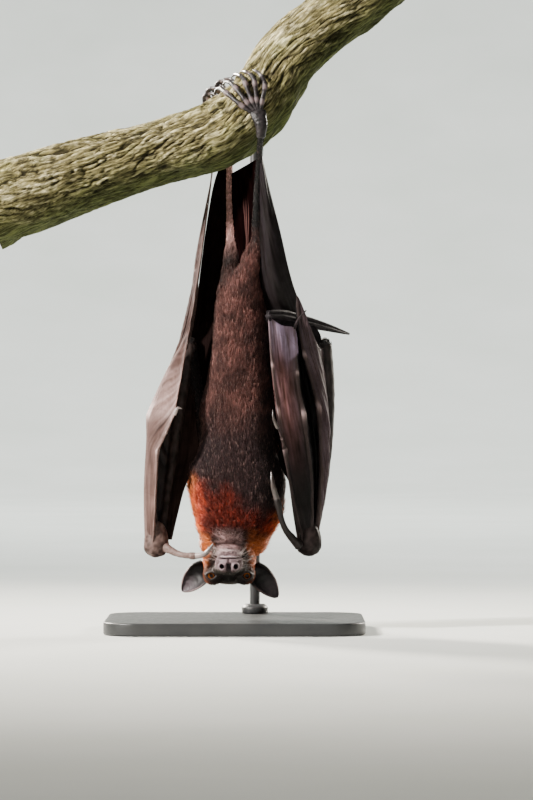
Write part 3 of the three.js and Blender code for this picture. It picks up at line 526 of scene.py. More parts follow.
# Lights: place, aim, size, power, colour and spread, in metres, watts and degrees.
BAT_MIDDLE = (0, 0, 0.3)
WARM = (1.0, 0.93, 0.82)
LIGHTS = {
    "key": ((-3.1, -1.7, 2.2), BAT_MIDDLE, 0.5, 27, (1.0, 0.955, 0.9), 40),
    "fill": ((0.5, -3.6, 1.0), BAT_MIDDLE, 0.4, 0.5, (0.93, 0.96, 1.0), 50),
    "rim_right": ((2.0, 1.9, 1.2), BAT_MIDDLE, 0.6, 8, WARM, 40),
    "rim_left": ((-1.6, 2.2, 1.5), BAT_MIDDLE, 0.6, 20, WARM, 40),
    "wall": ((0, 2.2, 5.5), (0, 8.5, 0.2), 4.0, 900, (0.97, 1.0, 0.98), 150),
    "ground": ((0, -1.0, 6.5), (0, 1.0, 0), 3.0, 40, (1.0, 1.0, 0.98), 120),
}
SKY = ((0.86, 0.92, 0.9, 1), 0.06)  # colour and strength
# The studio's floor, in metres: where its edge starts to rise, where it ends and how high.
FLOOR_FLAT, FLOOR_RIM, FLOOR_HEIGHT = 5.5, 12.0, 7.5


def add_camera():
    """A camera level with the middle of the photo, whose lens makes PIXEL one pixel at the bat."""
    data = bpy.data.cameras.new("camera")
    data.sensor_width = SENSOR
    data.lens = SENSOR * CAMERA_DISTANCE / (FRAME_SIZE[1] * PIXEL)
    camera = linked("camera", data)
    x = (FRAME_SIZE[0] / 2 - AXIS_COLUMN) * PIXEL
    z = (FLOOR_ROW - FRAME_SIZE[1] / 2) * PIXEL
    camera.location = (x * MM, -CAMERA_DISTANCE * MM, z * MM)
    camera.rotation_euler = (math.radians(90), 0, 0)
    bpy.context.scene.camera = camera


def add_floor():
    """A pale round floor whose edge sweeps up on every side, so that no horizon shows."""
    turn = np.linspace(0, math.pi / 2, 40)
    angle = around(128)[None]
    radius = np.concatenate([[0.02, 1.5, 3.5], FLOOR_FLAT + (FLOOR_RIM - FLOOR_FLAT) * np.sin(turn)])[:, None]
    up = np.concatenate([[0, 0, 0], FLOOR_HEIGHT * (1 - np.cos(turn))])[:, None]
    rings = np.stack([radius * np.cos(angle), radius * np.sin(angle), up * np.ones_like(angle)], axis=-1)
    points, faces = capped(rings, first=(0, 0, 0))
    mesh = bpy.data.meshes.new("floor")
    mesh.from_pydata(points.tolist(), [], [face for part in faces for face in part.tolist()])
    mesh.polygons.foreach_set("use_smooth", np.ones(len(mesh.polygons), bool))
    mesh.materials.append(floor_material())
    floor = linked("floor", mesh)
    floor.location.z = -0.0005


def add_lights():
    """The area lights and the faint light of the sky."""
    for name, (place, aim, size, power, colour, spread) in LIGHTS.items():
        data = bpy.data.lights.new(name, "AREA")
        data.shape = "DISK"
        data.size = size
        data.energy = power
        data.color = colour
        data.spread = math.radians(spread)
        light = linked(name, data)
        light.location = place
        light.rotation_euler = (Vector(aim) - Vector(place)).to_track_quat("-Z", "Y").to_euler()
    world = bpy.data.worlds.new("studio")
    world.use_nodes = True
    for socket, value in zip(world.node_tree.nodes["Background"].inputs, SKY):
        socket.default_value = value
    bpy.context.scene.world = world


add_camera()
add_floor()
add_lights()

# ---------- perch ----------

BRANCH = Line(
    [
        (-240, 0, 409), (-199, 0, 424), (-154, 0, 440), (-109, 0, 453), (-64, 0, 466),
        (-34, 0, 474), (-16, 0, 480), (7, 0, 496), (24, 0, 513), (37, 0, 532),
        (49, 0, 551), (66, 0, 569), (90, 0, 590), (130, 0, 620), (174, 0, 655),
    ]
)
BRANCH_RADIUS = [
    (0, 41), (0.12, 38.5), (0.24, 34), (0.36, 32), (0.46, 34), (0.56, 32.5), (0.68, 31), (0.84, 30), (1, 29),
]
BARK_ROWS, BARK_COLUMNS = 440, 210
# The sizes of the bark's long and short fissures, its plates and its grit, the last along the branch.
LONG_CRACK, SHORT_CRACK, PLATE, GRIT = (5.5, 5.5, 60.0), (3.3, 3.3, 30.0), (5.5, 5.5, 40.0), (2.2, 2.2, 7.0)
BARK_WARP = 4.2
# The crown tone is a painted highlight on the upper ridges; the dark tone in the fissures is partly the
# bark's own colour and partly painted shade.
BARK = palette(crown=(246, 236, 192), pale=(136, 127, 88), olive=(74, 80, 46), dark=(20, 16, 7))


def branch_direction(share, angle):
    """A direction round the branch: 0 faces the front (-Y) and a quarter turn is its upper side."""
    t = BRANCH.direction(share)
    return np.stack([-t[:, 2] * np.sin(angle), -np.cos(angle), t[:, 0] * np.sin(angle)], axis=1)


def bark_relief(share, angle):
    """The large swellings, as in the solids."""
    twist = angle + 1.6 * np.sin(5 * share) + 0.5 * np.sin(17 * share)
    rope = 1.1 * np.sin(3 * twist + 9 * share) + 0.9 * np.sin(7 * twist - 14 * share)
    return rope + 0.8 * np.sin(31 * share + 2 * angle) * np.cos(4 * angle + 12 * share)


def bark_fissures(share, angle, radius):
    """How deep the bark is cut at a place, and how high its ridges stand, in millimetres."""
    s = share * BRANCH.length
    twist = angle + 0.5 * np.sin(s / 60)
    p = np.stack([radius * np.cos(twist), radius * np.sin(twist), s], axis=1)
    warp = np.stack([noise(p / 18 + 9, 1), noise(p / 18 + 31, 2), 1.8 * noise(p / 22, 3)], axis=1)
    p = p + BARK_WARP * warp
    deep = bell(noise(p / np.array(LONG_CRACK), 4), 0.085)
    small = bell(noise(p / np.array(SHORT_CRACK), 5), 0.11)
    ridge = 1.5 * noise(p / np.array(PLATE), 6) + 1.1 * layers(p / np.array(GRIT), 3, 7)
    smooth = 1 - 0.55 * ramp(-np.sin(angle) + 0.5 * noise(p / 50, 8), 0.35, 0.9)
    cut = 1.7 * deep * ramp(noise(p / 30, 10), -0.5, 0.1) + 1.2 * small
    return cut * smooth, ridge * smooth


def bark_tone(angle, cut, ridge):
    """Paler above and darker olive beneath, partly the bark's own colour and partly painted light and shade;
    the crown tone on the upper ridges is a painted highlight, and the dark in the fissures is partly their
    own colour and partly painted shade.
    """
    above = ramp(np.sin(angle) + 0.25 * np.cos(angle), -0.75, 0.35)
    tone = laid(BARK["olive"], BARK["pale"], above)
    tone = laid(tone, BARK["crown"], ramp(ridge, -0.1, 1.2) * above)
    return laid(tone, BARK["dark"], ramp(cut - 0.8 * ridge, 0.2, 2.2) * 0.9)


def add_sawn_end(name, edge, centre, out):
    """A flat sawn face inside one ring of the bark, with its growth rings."""
    rho = np.linspace(1, 0.02, 14) ** 0.9
    rings = centre + (edge - centre)[None] * rho[:, None, None]
    rings = rings + out * (0.25 * np.sin(rho * math.pi))[:, None, None]
    flip = np.dot(np.cross(edge[0] - centre, edge[1] - centre), out) >= 0
    points, faces = capped(rings, last=centre, flip=flip)
    distance = {"ring": np.append(np.repeat(rho, len(edge)), 0.0)}
    make_object(f"branch_end_{name}", points, faces, "wood", extra=distance)


def add_perch():
    """The bark round the branch, and its two sawn ends."""
    s, a = grid(np.linspace(0, 1, BARK_ROWS), around(BARK_COLUMNS))
    radius = row_values(BRANCH_RADIUS, s)[:, 0]
    cut, ridge = bark_fissures(s, a, radius)
    reach = radius + bark_relief(s, a) - cut + ridge - 0.3
    points = BRANCH.along(s) + branch_direction(s, a) * reach[:, None]
    lie = (radius * np.cos(a) * MM, radius * np.sin(a) * MM, s * BRANCH.length / 8 * MM)
    make_object(
        "branch_bark",
        points,
        [ring_faces(BARK_ROWS, BARK_COLUMNS)],
        "bark",
        ["perch"],
        bark_tone(a, cut, ridge),
        {f"lie_{axis}": values for axis, values in zip("xyz", lie)},
    )
    rings = points.reshape(BARK_ROWS, BARK_COLUMNS, 3)
    for name, row, at, sign in (("left", 0, 0.0, -1), ("right", -1, 1.0, 1)):
        add_sawn_end(name, rings[row], BRANCH.along(at)[0], BRANCH.direction(at)[0] * sign)


add_perch()

# ---------- body: where its surface lies, as a distance in millimetres that is negative inside ----------

# Rows: height, middle across, middle in depth, half width, half depth.
TRUNK = [
    (68, -3, 9, 22, 15), (78, -2, 8, 31, 22), (90, 0, 6, 35, 28.5), (104, 2, 4, 40, 33.5),
    (114, 3.5, 3.5, 43.5, 36), (128, 3, 3, 46, 38.5), (142, 2, 3.5, 48, 40.5), (156, 1, 4, 46.5, 41),
    (170, 1.5, 5, 40.5, 39.5), (186, 2.5, 6, 37.3, 38), (212, 2.5, 7, 37.5, 37), (240, 4, 7, 33, 35),
    (265, 5, 7, 29.8, 32.5), (290, 5.5, 7, 28, 30.5), (315, 5.5, 7, 25.5, 27.5), (338, 5.5, 8, 19.5, 22.5),
    (352, 5, 9, 13, 15),
]
HEAD = np.array([-5.5, -20, 65.5])
# Rows: distance forward, half width, top, underside.
SKULL = [
    (-42, 9, 14, -4), (-37, 18, 18.5, -12), (-26, 24, 21.5, -17), (-12, 25.5, 21, -18), (-2, 23.5, 18.8, -16),
    (6, 19.5, 15.5, -13), (14, 15, 12, -10), (24, 12, 9.8, -8), (34, 11, 8.4, -7.5), (40, 9.6, 7.2, -7),
    (45, 6.8, 5.4, -5.8),
]
JAW = [
    (-24, 15, -4, -17), (-10, 18.5, -3, -18.5), (4, 16, -3, -17.5), (16, 12.4, -3, -15.8),
    (27, 10.4, -3, -14.2), (36, 9, -3, -12.8), (41.5, 6.2, -4, -11.2),
]
# What swells the head on each side: centre, half sizes and how softly it runs in.
HEAD_SWELLS = [
    ((8.2, 30, -1.5), (4.8, 10, 6), 3.0),
    ((13, -0.5, 15.5), (7.2, 8, 4.4), 4.0),
    ((15.5, -6, -6), (9.5, 13, 9), 6.0),
    ((11.5, 9.5, 6.5), (6.5, 9, 6.5), 4.0),
]
MOUTH_HEIGHT = -6.8
EYE = np.array([16.4, 2.4, 11.0])
EYE_RADIUS = 6.6
LID = 1.45
EYE_TURN = 0.14
LID_OPENING = (4.1, 2.7)  # half its width and height
# The folds round the lids: how far each is pressed in, its distance from the opening and its width.
LID_FOLDS = [(-0.55, 0.9, 0.75), (0.55, 2.9, 0.7), (0.35, 4.9, 0.6)]
NOSTRIL = np.array([6.7, 43.2, 1.5])
NOSTRIL_WAY = np.array([3.0, 6.0, -0.3])

THIGH = [(0, 14, 13), (0.5, 10.5, 10), (0.85, 6.8, 6.4), (1, 4.6, 4.4)]
SHIN = [(0, 4.8), (0.12, 5.2), (0.35, 4.2), (0.75, 3.3), (0.93, 3.6), (1, 3.4)]
UPPER_ARM = [(0, 12), (0.25, 9.8), (0.6, 7.5), (0.88, 7), (1, 7.3)]
LEGS = {
    "left": ((-1, 9, 326), (-2.5, 22, 372), (-5.5, 35, 458), (-6, 42, 472)),
    "right": ((7.5, -6, 322), (21, -8, 376), (24, -31, 462), (25, -39.5, 476)),
}
ARMS = {
    "left": [(-27, 12, 148), (-35, 20, 212), (-44, 26, 277)],
    "right": [(31, 12, 148), (60, 14, 212), (87, 15, 276)],
}


def to_head(points):
    """Body points in the head's own frame: right, forward and up."""
    p = np.asarray(points) - HEAD
    return p * np.array([1, -1, -1])


def from_head(points):
    return HEAD + np.asarray(points) * np.array([1, -1, -1])


def at_side(place, side):
    """A place in the head's frame on the left (-1) or right (1)."""
    return np.array([side * place[0], place[1], place[2]])


def join(a, b, k):
    """The distance to two shapes together, run into each other over a width."""
    h = np.clip(0.5 + 0.5 * (b - a) / k, 0, 1)
    return b + (a - b) * h - k * h * (1 - h)


def keep(a, b, k):
    """The distance to what two shapes share, with its edge rounded over a width."""
    return -join(-a, -b, k)


def oval(across, up, along, rows, square=2.0, end=6.0):
    """The distance to a body with oval cross-sections. rows are (along, half width, top, underside)."""
    wide, top, under = row_values(rows, along).T
    step = 0.5
    near_wide, near_top, near_under = row_values(rows, along + step).T
    tall = (top - under) / 2
    a, b = np.abs(across) / wide, np.abs(up - (top + under) / 2) / tall
    rho = np.maximum((a**square + b**square) ** (1 / square), 1e-6)
    slope = ((near_wide - wide) * a + ((near_top - near_under) / 2 - tall) * b) / step / np.maximum(rho, 0.3)
    steep = np.sqrt((a / wide) ** 2 + (b / tall) ** 2)
    f = rho * (rho - 1) / np.maximum(steep, 1e-6) / np.sqrt(1 + slope**2)
    return keep(keep(f, along - rows[-1][0], end), rows[0][0] - along, end)


def ball(points, centre, size):
    """The distance to an ellipsoid with half sizes along the axes."""
    q = (points - np.array(centre, float)) / size
    k0 = np.linalg.norm(q, axis=1)
    return k0 * (k0 - 1) / np.maximum(np.linalg.norm(q / size, axis=1), 1e-6)


def rod(points, path, radii, parts=20):
    """The distance to a limb along a line, with radii by share of its length."""
    share = np.linspace(0, 1, parts + 1)
    knots = path.along(share)
    r = row_values(radii, share)[:, 0]
    best = np.full(len(points), 1e3)
    for a, b, ra, rb in zip(knots[:-1], knots[1:], r[:-1], r[1:]):
        step = b - a
        t = np.clip((points - a) @ step / (step @ step), 0, 1)
        away = np.linalg.norm(points - a - t[:, None] * step, axis=1) - mix(ra, rb, t)
        best = np.minimum(best, away)
    return best


def leg_lines(name):
    """The lines of the thigh and the shin."""
    hip, knee, ankle, heel = (np.array(p, float) for p in LEGS[name])
    under = mix(knee, hip, -0.1)
    calf = mix(knee, ankle, 0.5) + np.array([-1, 1.5, 0])
    return Line([hip, mix(hip, knee, 0.6), under]), Line([knee, calf, ankle, heel])


def limb_parts():
    """(line, radii, how softly it runs into the body) for each limb inside the skin."""
    for name in LEGS:
        thigh, shin = leg_lines(name)
        yield thigh, THIGH, 9.0
        yield shin, SHIN, 3.0
    for name in ARMS:
        yield Line(ARMS[name]), UPPER_ARM, 6.0


LIMBS = list(limb_parts())
LIMB_REACH = 22  # no limb's skin lies further than this from its line
HEAD_REACH = 135  # the height that the head's skin stays under


def trunk_rows(*columns):
    """The trunk's rows of height and the wanted columns."""
    return [(row[0], *(row[k] for k in columns)) for row in TRUNK]


def gaze(side):
    """The gaze of an eye and the directions across and up its opening, in the head's frame."""
    ahead = unit(np.array([side * math.sin(EYE_TURN), math.cos(EYE_TURN), 0.12]))
    across = unit(np.array([ahead[1], -ahead[0], 0.0]))
    up = unit(np.array([0, 0, 1.0]) - ahead * ahead[2])
    return ahead, across, up


def mouth_line(h):
    """How far a point in the head's frame lies over the line between the lips."""
    rise = 3.4 * ramp(14 - h[:, 1], 0, 22) + 0.5 * np.sin(h[:, 1] * 0.21)
    return h[:, 2] - MOUTH_HEIGHT - rise


def cleft(h):
    """How far a point lies in the wide groove between the nostrils."""
    return bell(h[:, 0], 2.5, power=6) * ramp(h[:, 1], 33, 37) * ramp(h[:, 2], -2.6, -0.2)


def nose_relief(h):
    """How far the nose is pressed in: its slit and cleft, and its nostrils with their rims and wings."""
    x, y, z = h.T
    ax = np.abs(x)
    inward = 1.9 * bell(x, 0.9) * ramp(y, 36, 41) * ramp(z, -6.5, -4.5) + 4.2 * cleft(h)
    way = unit(NOSTRIL_WAY)
    off = np.stack([ax, y, z], axis=1) - NOSTRIL
    r = np.linalg.norm(off - (off @ way)[:, None] * way, axis=1)
    near = ramp(y, 34, 38)
    inward += 5.2 * near * ramp(-(r + 0.16 * (z - NOSTRIL[2])), -2.5, -1.6)
    inward -= 1.3 * near * bell(r, 0.9, 3.0)
    wing = np.exp(-((np.hypot(ax - 7.6, (z - 0.2) * 0.8) - 2.6) ** 2) / 0.5)
    return inward + 0.5 * wing * ramp(y, 33, 36) * ramp(-y, -41, -38)


def face_relief(h):
    """How far the face's surface is pressed in at a point in the head's frame."""
    x, y, z = h.T
    line = mouth_line(h)
    lips = 2.6 * bell(line, 0.62) - 0.75 * bell(line, 1.3, 2.2) - 0.7 * bell(line, 1.1, -1.9)
    folds = np.sin((y - 0.35 * np.abs(x)) * 1.15 + 2.0 * noise(h / 9, 41))
    bridge = ramp(y, 6, 14) * ramp(-y, -36, -30) * ramp(z, 2, 6)
    chin = ramp(-z, 8.5, 11) * ramp(y, 24, 34)
    inward = lips * ramp(y, -8, 2) + nose_relief(h) + 0.28 * folds * bridge
    inward += 0.22 * noise(h / 2.1, 42) * ramp(y, 14, 30)
    return inward - 0.3 * np.abs(noise(h / 1.5, 43)) * chin


def with_eye(f, h, side):
    """The head's distance with one eye's lids, the folds round them and the opening for its ball."""
    away = h - at_side(EYE, side)
    round_eye = np.linalg.norm(away, axis=1)
    f = join(f, round_eye - (EYE_RADIUS + LID), 5.0)
    depth, a, b = (away @ way for way in gaze(side))
    half_width, half_height = LID_OPENING
    tall = half_height * (1.06 - 0.3 * (a / half_width) ** 2).clip(0.4)
    rim = (np.hypot(a / half_width, (b + 0.12 * np.abs(a)) / tall) - 1) * half_height
    fade = [1, 1, ramp(-np.abs(a), -9, -4)]
    for (high, at, wide), part in zip(LID_FOLDS, fade):
        f = f + high * bell(rim, wide, at) * ramp(depth, 1, 4) * part
    f = keep(f, -np.maximum(rim, 1.5 - depth), 0.5)
    return np.maximum(f, EYE_RADIUS + 0.1 - round_eye)


def head_distance(points):
    """The distance to the skull, jaw, cheeks, nose and lids."""
    h = to_head(points)
    x, y, z = h.T
    f = join(oval(x, z, y, SKULL, 2.15, 7.0), oval(x, z, y, JAW, 2.2, 6.0), 2.5)
    for side in (-1, 1):
        for centre, size, soft in HEAD_SWELLS:
            f = join(f, ball(h, at_side(centre, side), np.array(size)), soft)
    f = f + face_relief(h)
    for side in (-1, 1):
        f = with_eye(f, h, side)
    return f


def body_distance(points):
    """The outside of the animal's trunk, head, legs and upper arms, with its coat."""
    p = np.asarray(points, float)
    rows = [(z, w, y + d, y - d) for z, _, y, w, d in TRUNK]
    middle = row_values(trunk_rows(1), p[:, 2])[:, 0]
    f = oval(p[:, 0] - middle, p[:, 1], p[:, 2], rows, 2.06, 8.0)
    low = p[:, 2] < HEAD_REACH
    f[low] = join(f[low], head_distance(p[low]), 5.0)
    for path, radii, soft in LIMBS:
        low, high = path.table.min(axis=0) - LIMB_REACH, path.table.max(axis=0) + LIMB_REACH
        near = np.all((p > low) & (p < high), axis=1)
        if near.any():
            f[near] = join(f[near], rod(p[near], path, radii), soft)
    return f


def nose_pad(h):
    """How far a point in the head's frame belongs to the bare end of the nose and the lips' edges."""
    x, y, z = h.T
    pad = ramp(y, 39, 42) * ramp(z, -6.4, -5.4) * ramp(-z, -6.5, -4.5)
    hole = ramp(-np.hypot(np.abs(x) - NOSTRIL[0], z - NOSTRIL[2]), -4.4, -3.6) * ramp(y, 30, 33)
    lips = bell(mouth_line(h), 1.5, power=4) * ramp(y, 26, 34)
    return np.maximum(np.maximum(pad, lips), np.maximum(hole, ramp(cleft(h), 0.2, 0.6)))


def from_eye(h):
    """Points in the head's frame as seen from the middle of the nearer eye, folded to the right side."""
    return np.stack([np.abs(h[:, 0]), h[:, 1], h[:, 2]], axis=1) - EYE


def near_eye(h):
    """About how far a point in the head's frame lies from the rim of the nearer eye's opening."""
    away = from_eye(h)
    depth, a, b = (away @ way for way in gaze(1))
    flat = np.hypot(a * LID_OPENING[1] / LID_OPENING[0], b) - LID_OPENING[1]
    return np.maximum(flat, 0) + np.maximum(1.5 - depth, 0)


class Places:
    """Points on the body and in the head's frame, and how far each belongs to a part of the coat, 0 to 1."""

    def __init__(self, points):
        self.body = p = np.asarray(points, float)
        self.head = to_head(p)
        forward = self.head[:, 1]
        face = ramp(-p[:, 2], -96, -84) * ramp(forward, -34, -18)
        self.face = np.maximum(face, ramp(forward, -8, 2) * ramp(-p[:, 2], -100, -90))
        self.muzzle = ramp(forward, 14, 24) * self.face
        edge = 14 * layers(p / 12, 4, 57) + 0.26 * np.abs(p[:, 0] - 2)
        # Painted shade: on the right of the front the mantle's edge is drawn back towards the head by up to
        # 30 mm, so that the darker chest colour stays there as shade; the mantle's longer coat moves with it.
        edge = edge - 30 * ramp(p[:, 0], -8, 36) * ramp(-p[:, 1], -26, -2)
        self.mantle = ramp(edge - p[:, 2], -144, -116) * (1 - self.face)
        self.leg = ramp(p[:, 2], 338, 362)
        middle, wide = row_values(trunk_rows(1, 3), p[:, 2]).T
        self.arm = ramp(np.abs(p[:, 0] - middle) - wide, 0, 5) * (1 - self.leg) * ramp(p[:, 2], 150, 175)
        self.shin = ramp(p[:, 2], 345, 392)
        self.nose = nose_pad(self.head)

    def blend(self, value, **parts):
        """A value of the trunk's coat changed, in order, to those of other parts."""
        for name, other in parts.items():
            value = mix(value, other, getattr(self, name))
        return value


def skin_distance(points):
    """The skin's surface, under the coat by its depth."""
    at = Places(points)
    depth = at.blend(3.0 + 2.2 * at.mantle, face=1.5, muzzle=0.8, nose=0.05, leg=0.9, arm=1.8)
    off_eye = np.linalg.norm(from_eye(at.head), axis=1) - EYE_RADIUS
    muscle = 0.9 * noise(at.body / np.array([13, 13, 30]), 51) * ramp(at.body[:, 2], 120, 160)
    return body_distance(at.body) + depth * ramp(off_eye, 1.5, 4.5) + muscle


def slope_of(field, points, step=0.12):
    """A field's values at points, and its slopes there."""
    here = field(points)
    out = np.empty((len(points), 3))
    for k in range(3):
        moved = points.copy()
        moved[:, k] += step
        out[:, k] = (field(moved) - here) / step
    return here, out


def axis_marks(low, high, fine_low, fine_high, fine, coarse):
    """Grid positions with fine steps in the middle stretch and growing ones outside it."""
    marks = list(np.arange(fine_low, fine_high, fine))
    step = fine
    while marks[-1] < high:
        step = min(step * 1.06, coarse)
        marks.append(marks[-1] + step)
    step = fine
    while marks[0] > low:
        step = min(step * 1.06, coarse)
        marks.insert(0, marks[0] - step)
    return np.array(marks)


def at_marks(marks, index):
    """The points at places of a grid, whose marks along X, Y and Z are given."""
    return np.stack([marks[k][index[k]] for k in range(3)], axis=1)


def surface_net(marks, values):
    """Points and quads where values on the grid turn from negative to positive."""
    inside = values < 0
    shape = np.array(values.shape) - 1
    total = np.zeros(shape, np.int8)
    for c in np.ndindex(2, 2, 2):
        total += inside[tuple(slice(start, start + size) for start, size in zip(c, shape))]
    active = (total > 0) & (total < 8)
    ids = np.full(shape, -1)
    ids[active] = np.arange(active.sum())
    cell = np.array(np.nonzero(active))
    place, count = np.zeros((cell.shape[1], 3)), np.zeros(cell.shape[1])
    for corner in np.ndindex(2, 2, 2):
        for axis in np.nonzero(np.array(corner) == 0)[0]:
            here = cell + np.array(corner)[:, None]
            there = here + np.eye(3, dtype=int)[:, [axis]]
            a, b = values[tuple(here)], values[tuple(there)]
            cross = (a < 0) != (b < 0)
            t = np.where(cross, a / np.where(cross, a - b, 1), 0)
            place += mix(at_marks(marks, here), at_marks(marks, there), t[:, None]) * cross[:, None]
            count += cross
    quads = []
    for axis in range(3):
        sides = [k for k in range(3) if k != axis]
        low = np.ones(3, int)
        low[axis] = 0
        at = np.stack(grid(*[np.arange(low[k], shape[k]) for k in range(3)]))
        after = at + np.eye(3, dtype=int)[:, [axis]]
        out, other = inside[tuple(at)], inside[tuple(after)]
        at, out = at[:, out != other], out[out != other]
        ring = []
        for back in ((1, 1), (0, 1), (0, 0), (1, 0)):
            cell_at = at.copy()
            cell_at[sides] -= np.array(back)[:, None]
            ring.append(ids[tuple(cell_at)])
        quad = np.stack(ring, axis=1)
        turned_in = out if axis == 1 else ~out
        quad[turned_in] = quad[turned_in][:, ::-1]
        quads.append(quad)
    return place / count[:, None], np.vstack(quads)


def skin_mesh(fine):
    """The whole skin: the finest cells over the face, coarser ones up the trunk and legs."""
    marks = [
        axis_marks(-64, 104, -30, 19, fine, 1.9),
        axis_marks(-70, 62, -66, -30, fine, 1.9),
        axis_marks(38, 480, 44, 86, fine, 2.0),
    ]
    shape = np.array([len(m) for m in marks])
    # The distance is worked out point by point only in blocks of the grid that the surface may pass.
    block = 8
    starts = np.stack(grid(*[np.arange(0, n, block) for n in shape]))
    ends = np.minimum(starts + block, shape[:, None])
    centres, low, high = (at_marks(marks, index) for index in ((starts + ends) // 2, starts, ends - 1))
    reach = np.linalg.norm(np.maximum(high - centres, centres - low), axis=1)
    middle = skin_distance(centres)
    values = np.empty(shape)
    wanted = np.zeros(shape, bool)
    for start, value, near in zip(starts.T, middle, np.abs(middle) <= reach * 1.25 + 3.5):
        cells = tuple(slice(n, n + block) for n in start)
        values[cells] = value
        wanted[cells] = near
    where = np.nonzero(wanted)
    points = at_marks(marks, where)
    values[where] = np.concatenate([skin_distance(part) for part in np.array_split(points, 12)])
    points, quads = surface_net(marks, values)
    for _ in range(3):
        here, slope = slope_of(skin_distance, points)
        step = here[:, None] * slope / np.maximum((slope**2).sum(axis=1), 0.25)[:, None]
        size = np.linalg.norm(step, axis=1, keepdims=True)
        points = points - step * np.minimum(1, 0.4 / np.maximum(size, 1e-9))
    return points, quads


# ---------- markings of the skin and the coat ----------

# The two shin tones are lit and shaded copies of one coat: the left shin pale as painted light, the right
# shin near black as painted shade.
COAT = palette(
    belly=(100, 64, 58), belly_dark=(64, 40, 36), chest=(46, 31, 31), back_dark=(30, 20, 18),
    back=(46, 30, 25), gold=(216, 116, 52), rust=(88, 27, 16), orange=(164, 62, 34), nape=(148, 78, 40),
    arm=(22, 15, 14), left_shin=(210, 160, 152), right_shin=(10, 7, 7), crown=(30, 27, 21),
    crown_edge=(70, 40, 22), cheek=(66, 42, 35), cheek_side=(46, 27, 21), chin=(176, 142, 140),
    snout=(138, 114, 115), snout_top=(54, 49, 42), mask=(40, 24, 17), grizzle=(196, 160, 148),
)
# Tones of the bare face. The hole and mouth tones are dark as painted shade in hollows, and the lower lip's
# pale tone is a painted highlight.
BARE = palette(
    snout=(120, 100, 103), snout_top=(50, 45, 40), pad=(158, 138, 143), hole=(22, 12, 12),
    mouth=(52, 30, 30), lip=(206, 184, 188), lids=(30, 21, 19),
)


def face_marking(at):
    """The colours of the head's coat, made darker at the front of its right side by painted shade."""
    p, (x, y, z) = at.body, at.head.T
    ax = np.abs(x)
    crown = laid(COAT["crown"], COAT["crown_edge"], 0.8 * ramp(z + 2 * noise(p / 5, 67), 15, 21))
    face = laid(COAT["cheek"], crown, ramp(z + 0.12 * y, 2, 9))
    pale = ramp(-z, 6, 12) * ramp(y, -12, 8) * ramp(-ax + 3 * noise(p / 5, 66), -15, -8)
    face = laid(face, COAT["chin"], pale)
    snout = laid(COAT["snout"], COAT["snout_top"], ramp(z, 2.5, 6.5) * ramp(-y, -42, -34))
    face = laid(face, snout, ramp(y, 12, 22))
    flame = ramp(ax - 0.22 * y + 3 * noise(p / 7, 63), 13.5, 19) * ramp(-y, -13, 0)
    flame = np.maximum(flame, ramp(-y - 0.5 * ax + 3 * noise(p / 7, 64), 6, 16) * ramp(-z, -8, 2))
    side = ramp(ax + 2 * noise(p / 4, 65) - 0.1 * y, 8.5, 14) * ramp(-y, -34, -22)
    face = laid(face, COAT["cheek_side"], 0.9 * side)
    face = laid(face, mix(COAT["rust"], COAT["gold"], 0.55), flame)
    face = laid(face, COAT["mask"], 0.8 * bell(near_eye(at.head), 4.5))
    # Painted shade: the front of the head's right side is made darker, as the side away from the light.
    return face * mix(1.0, 0.62, ramp(x + noise(p / 4, 68), 2, 13) * ramp(y, -8, 12))[:, None]


def marking(at):
    """The coat's and skin's colours by place, in linear light: their own colours, with painted shade on the
    right of the front, of the mantle and of the face, and painted rim light in part of the ruff's gold.
    """
    x, y, z = at.body.T
    patch = layers(at.body / 17, 3, 61)
    front = ramp(-y, -12, 14)
    belly = laid(COAT["belly"], COAT["belly_dark"], ramp(patch, -0.4, 0.4))
    tone = laid(laid(COAT["back_dark"], COAT["back"], ramp(patch, -0.3, 0.4)), belly, front)
    tone = laid(tone, COAT["chest"], ramp(-z, -228, -172) * front)
    # The ruff turns gold towards its sides and back: partly the coat's own colour and partly painted rim
    # light.
    outward = ramp(np.abs(x - 1) + 0.35 * y, 8, 42) + 0.35 * patch
    ruff = laid(COAT["rust"], COAT["orange"], ramp(outward, 0.1, 0.55))
    ruff = laid(ruff, COAT["gold"], ramp(outward, 0.5, 0.95))
    ruff = laid(ruff, COAT["nape"], 0.8 * ramp(y + 8 * patch, 0, 26))
    tone = laid(tone, ruff, at.mantle**1.5)
    # Painted shade: the right of the front is made darker, most on the belly and less on the mantle, as the
    # side away from the light.
    shade = ramp(x + 4 * patch, 12, 38) * front * ramp(-z, -345, -300)
    tone = tone * mix(1.0, mix(0.6, 0.36, ramp(z, 96, 130)), shade)[:, None]
    # Painted light and shade: the left shin is painted pale as lit and the right shin near black as shaded.
    shin = ramp(z + 6 * patch, 352, 396)
    tone = laid(tone, COAT["left_shin"], shin * ramp(-x, -8, 2))
    tone = laid(tone, COAT["right_shin"], shin * ramp(x, -2, 8))
    tone = laid(tone, COAT["arm"], at.arm)
    return laid(tone, face_marking(at), at.face)


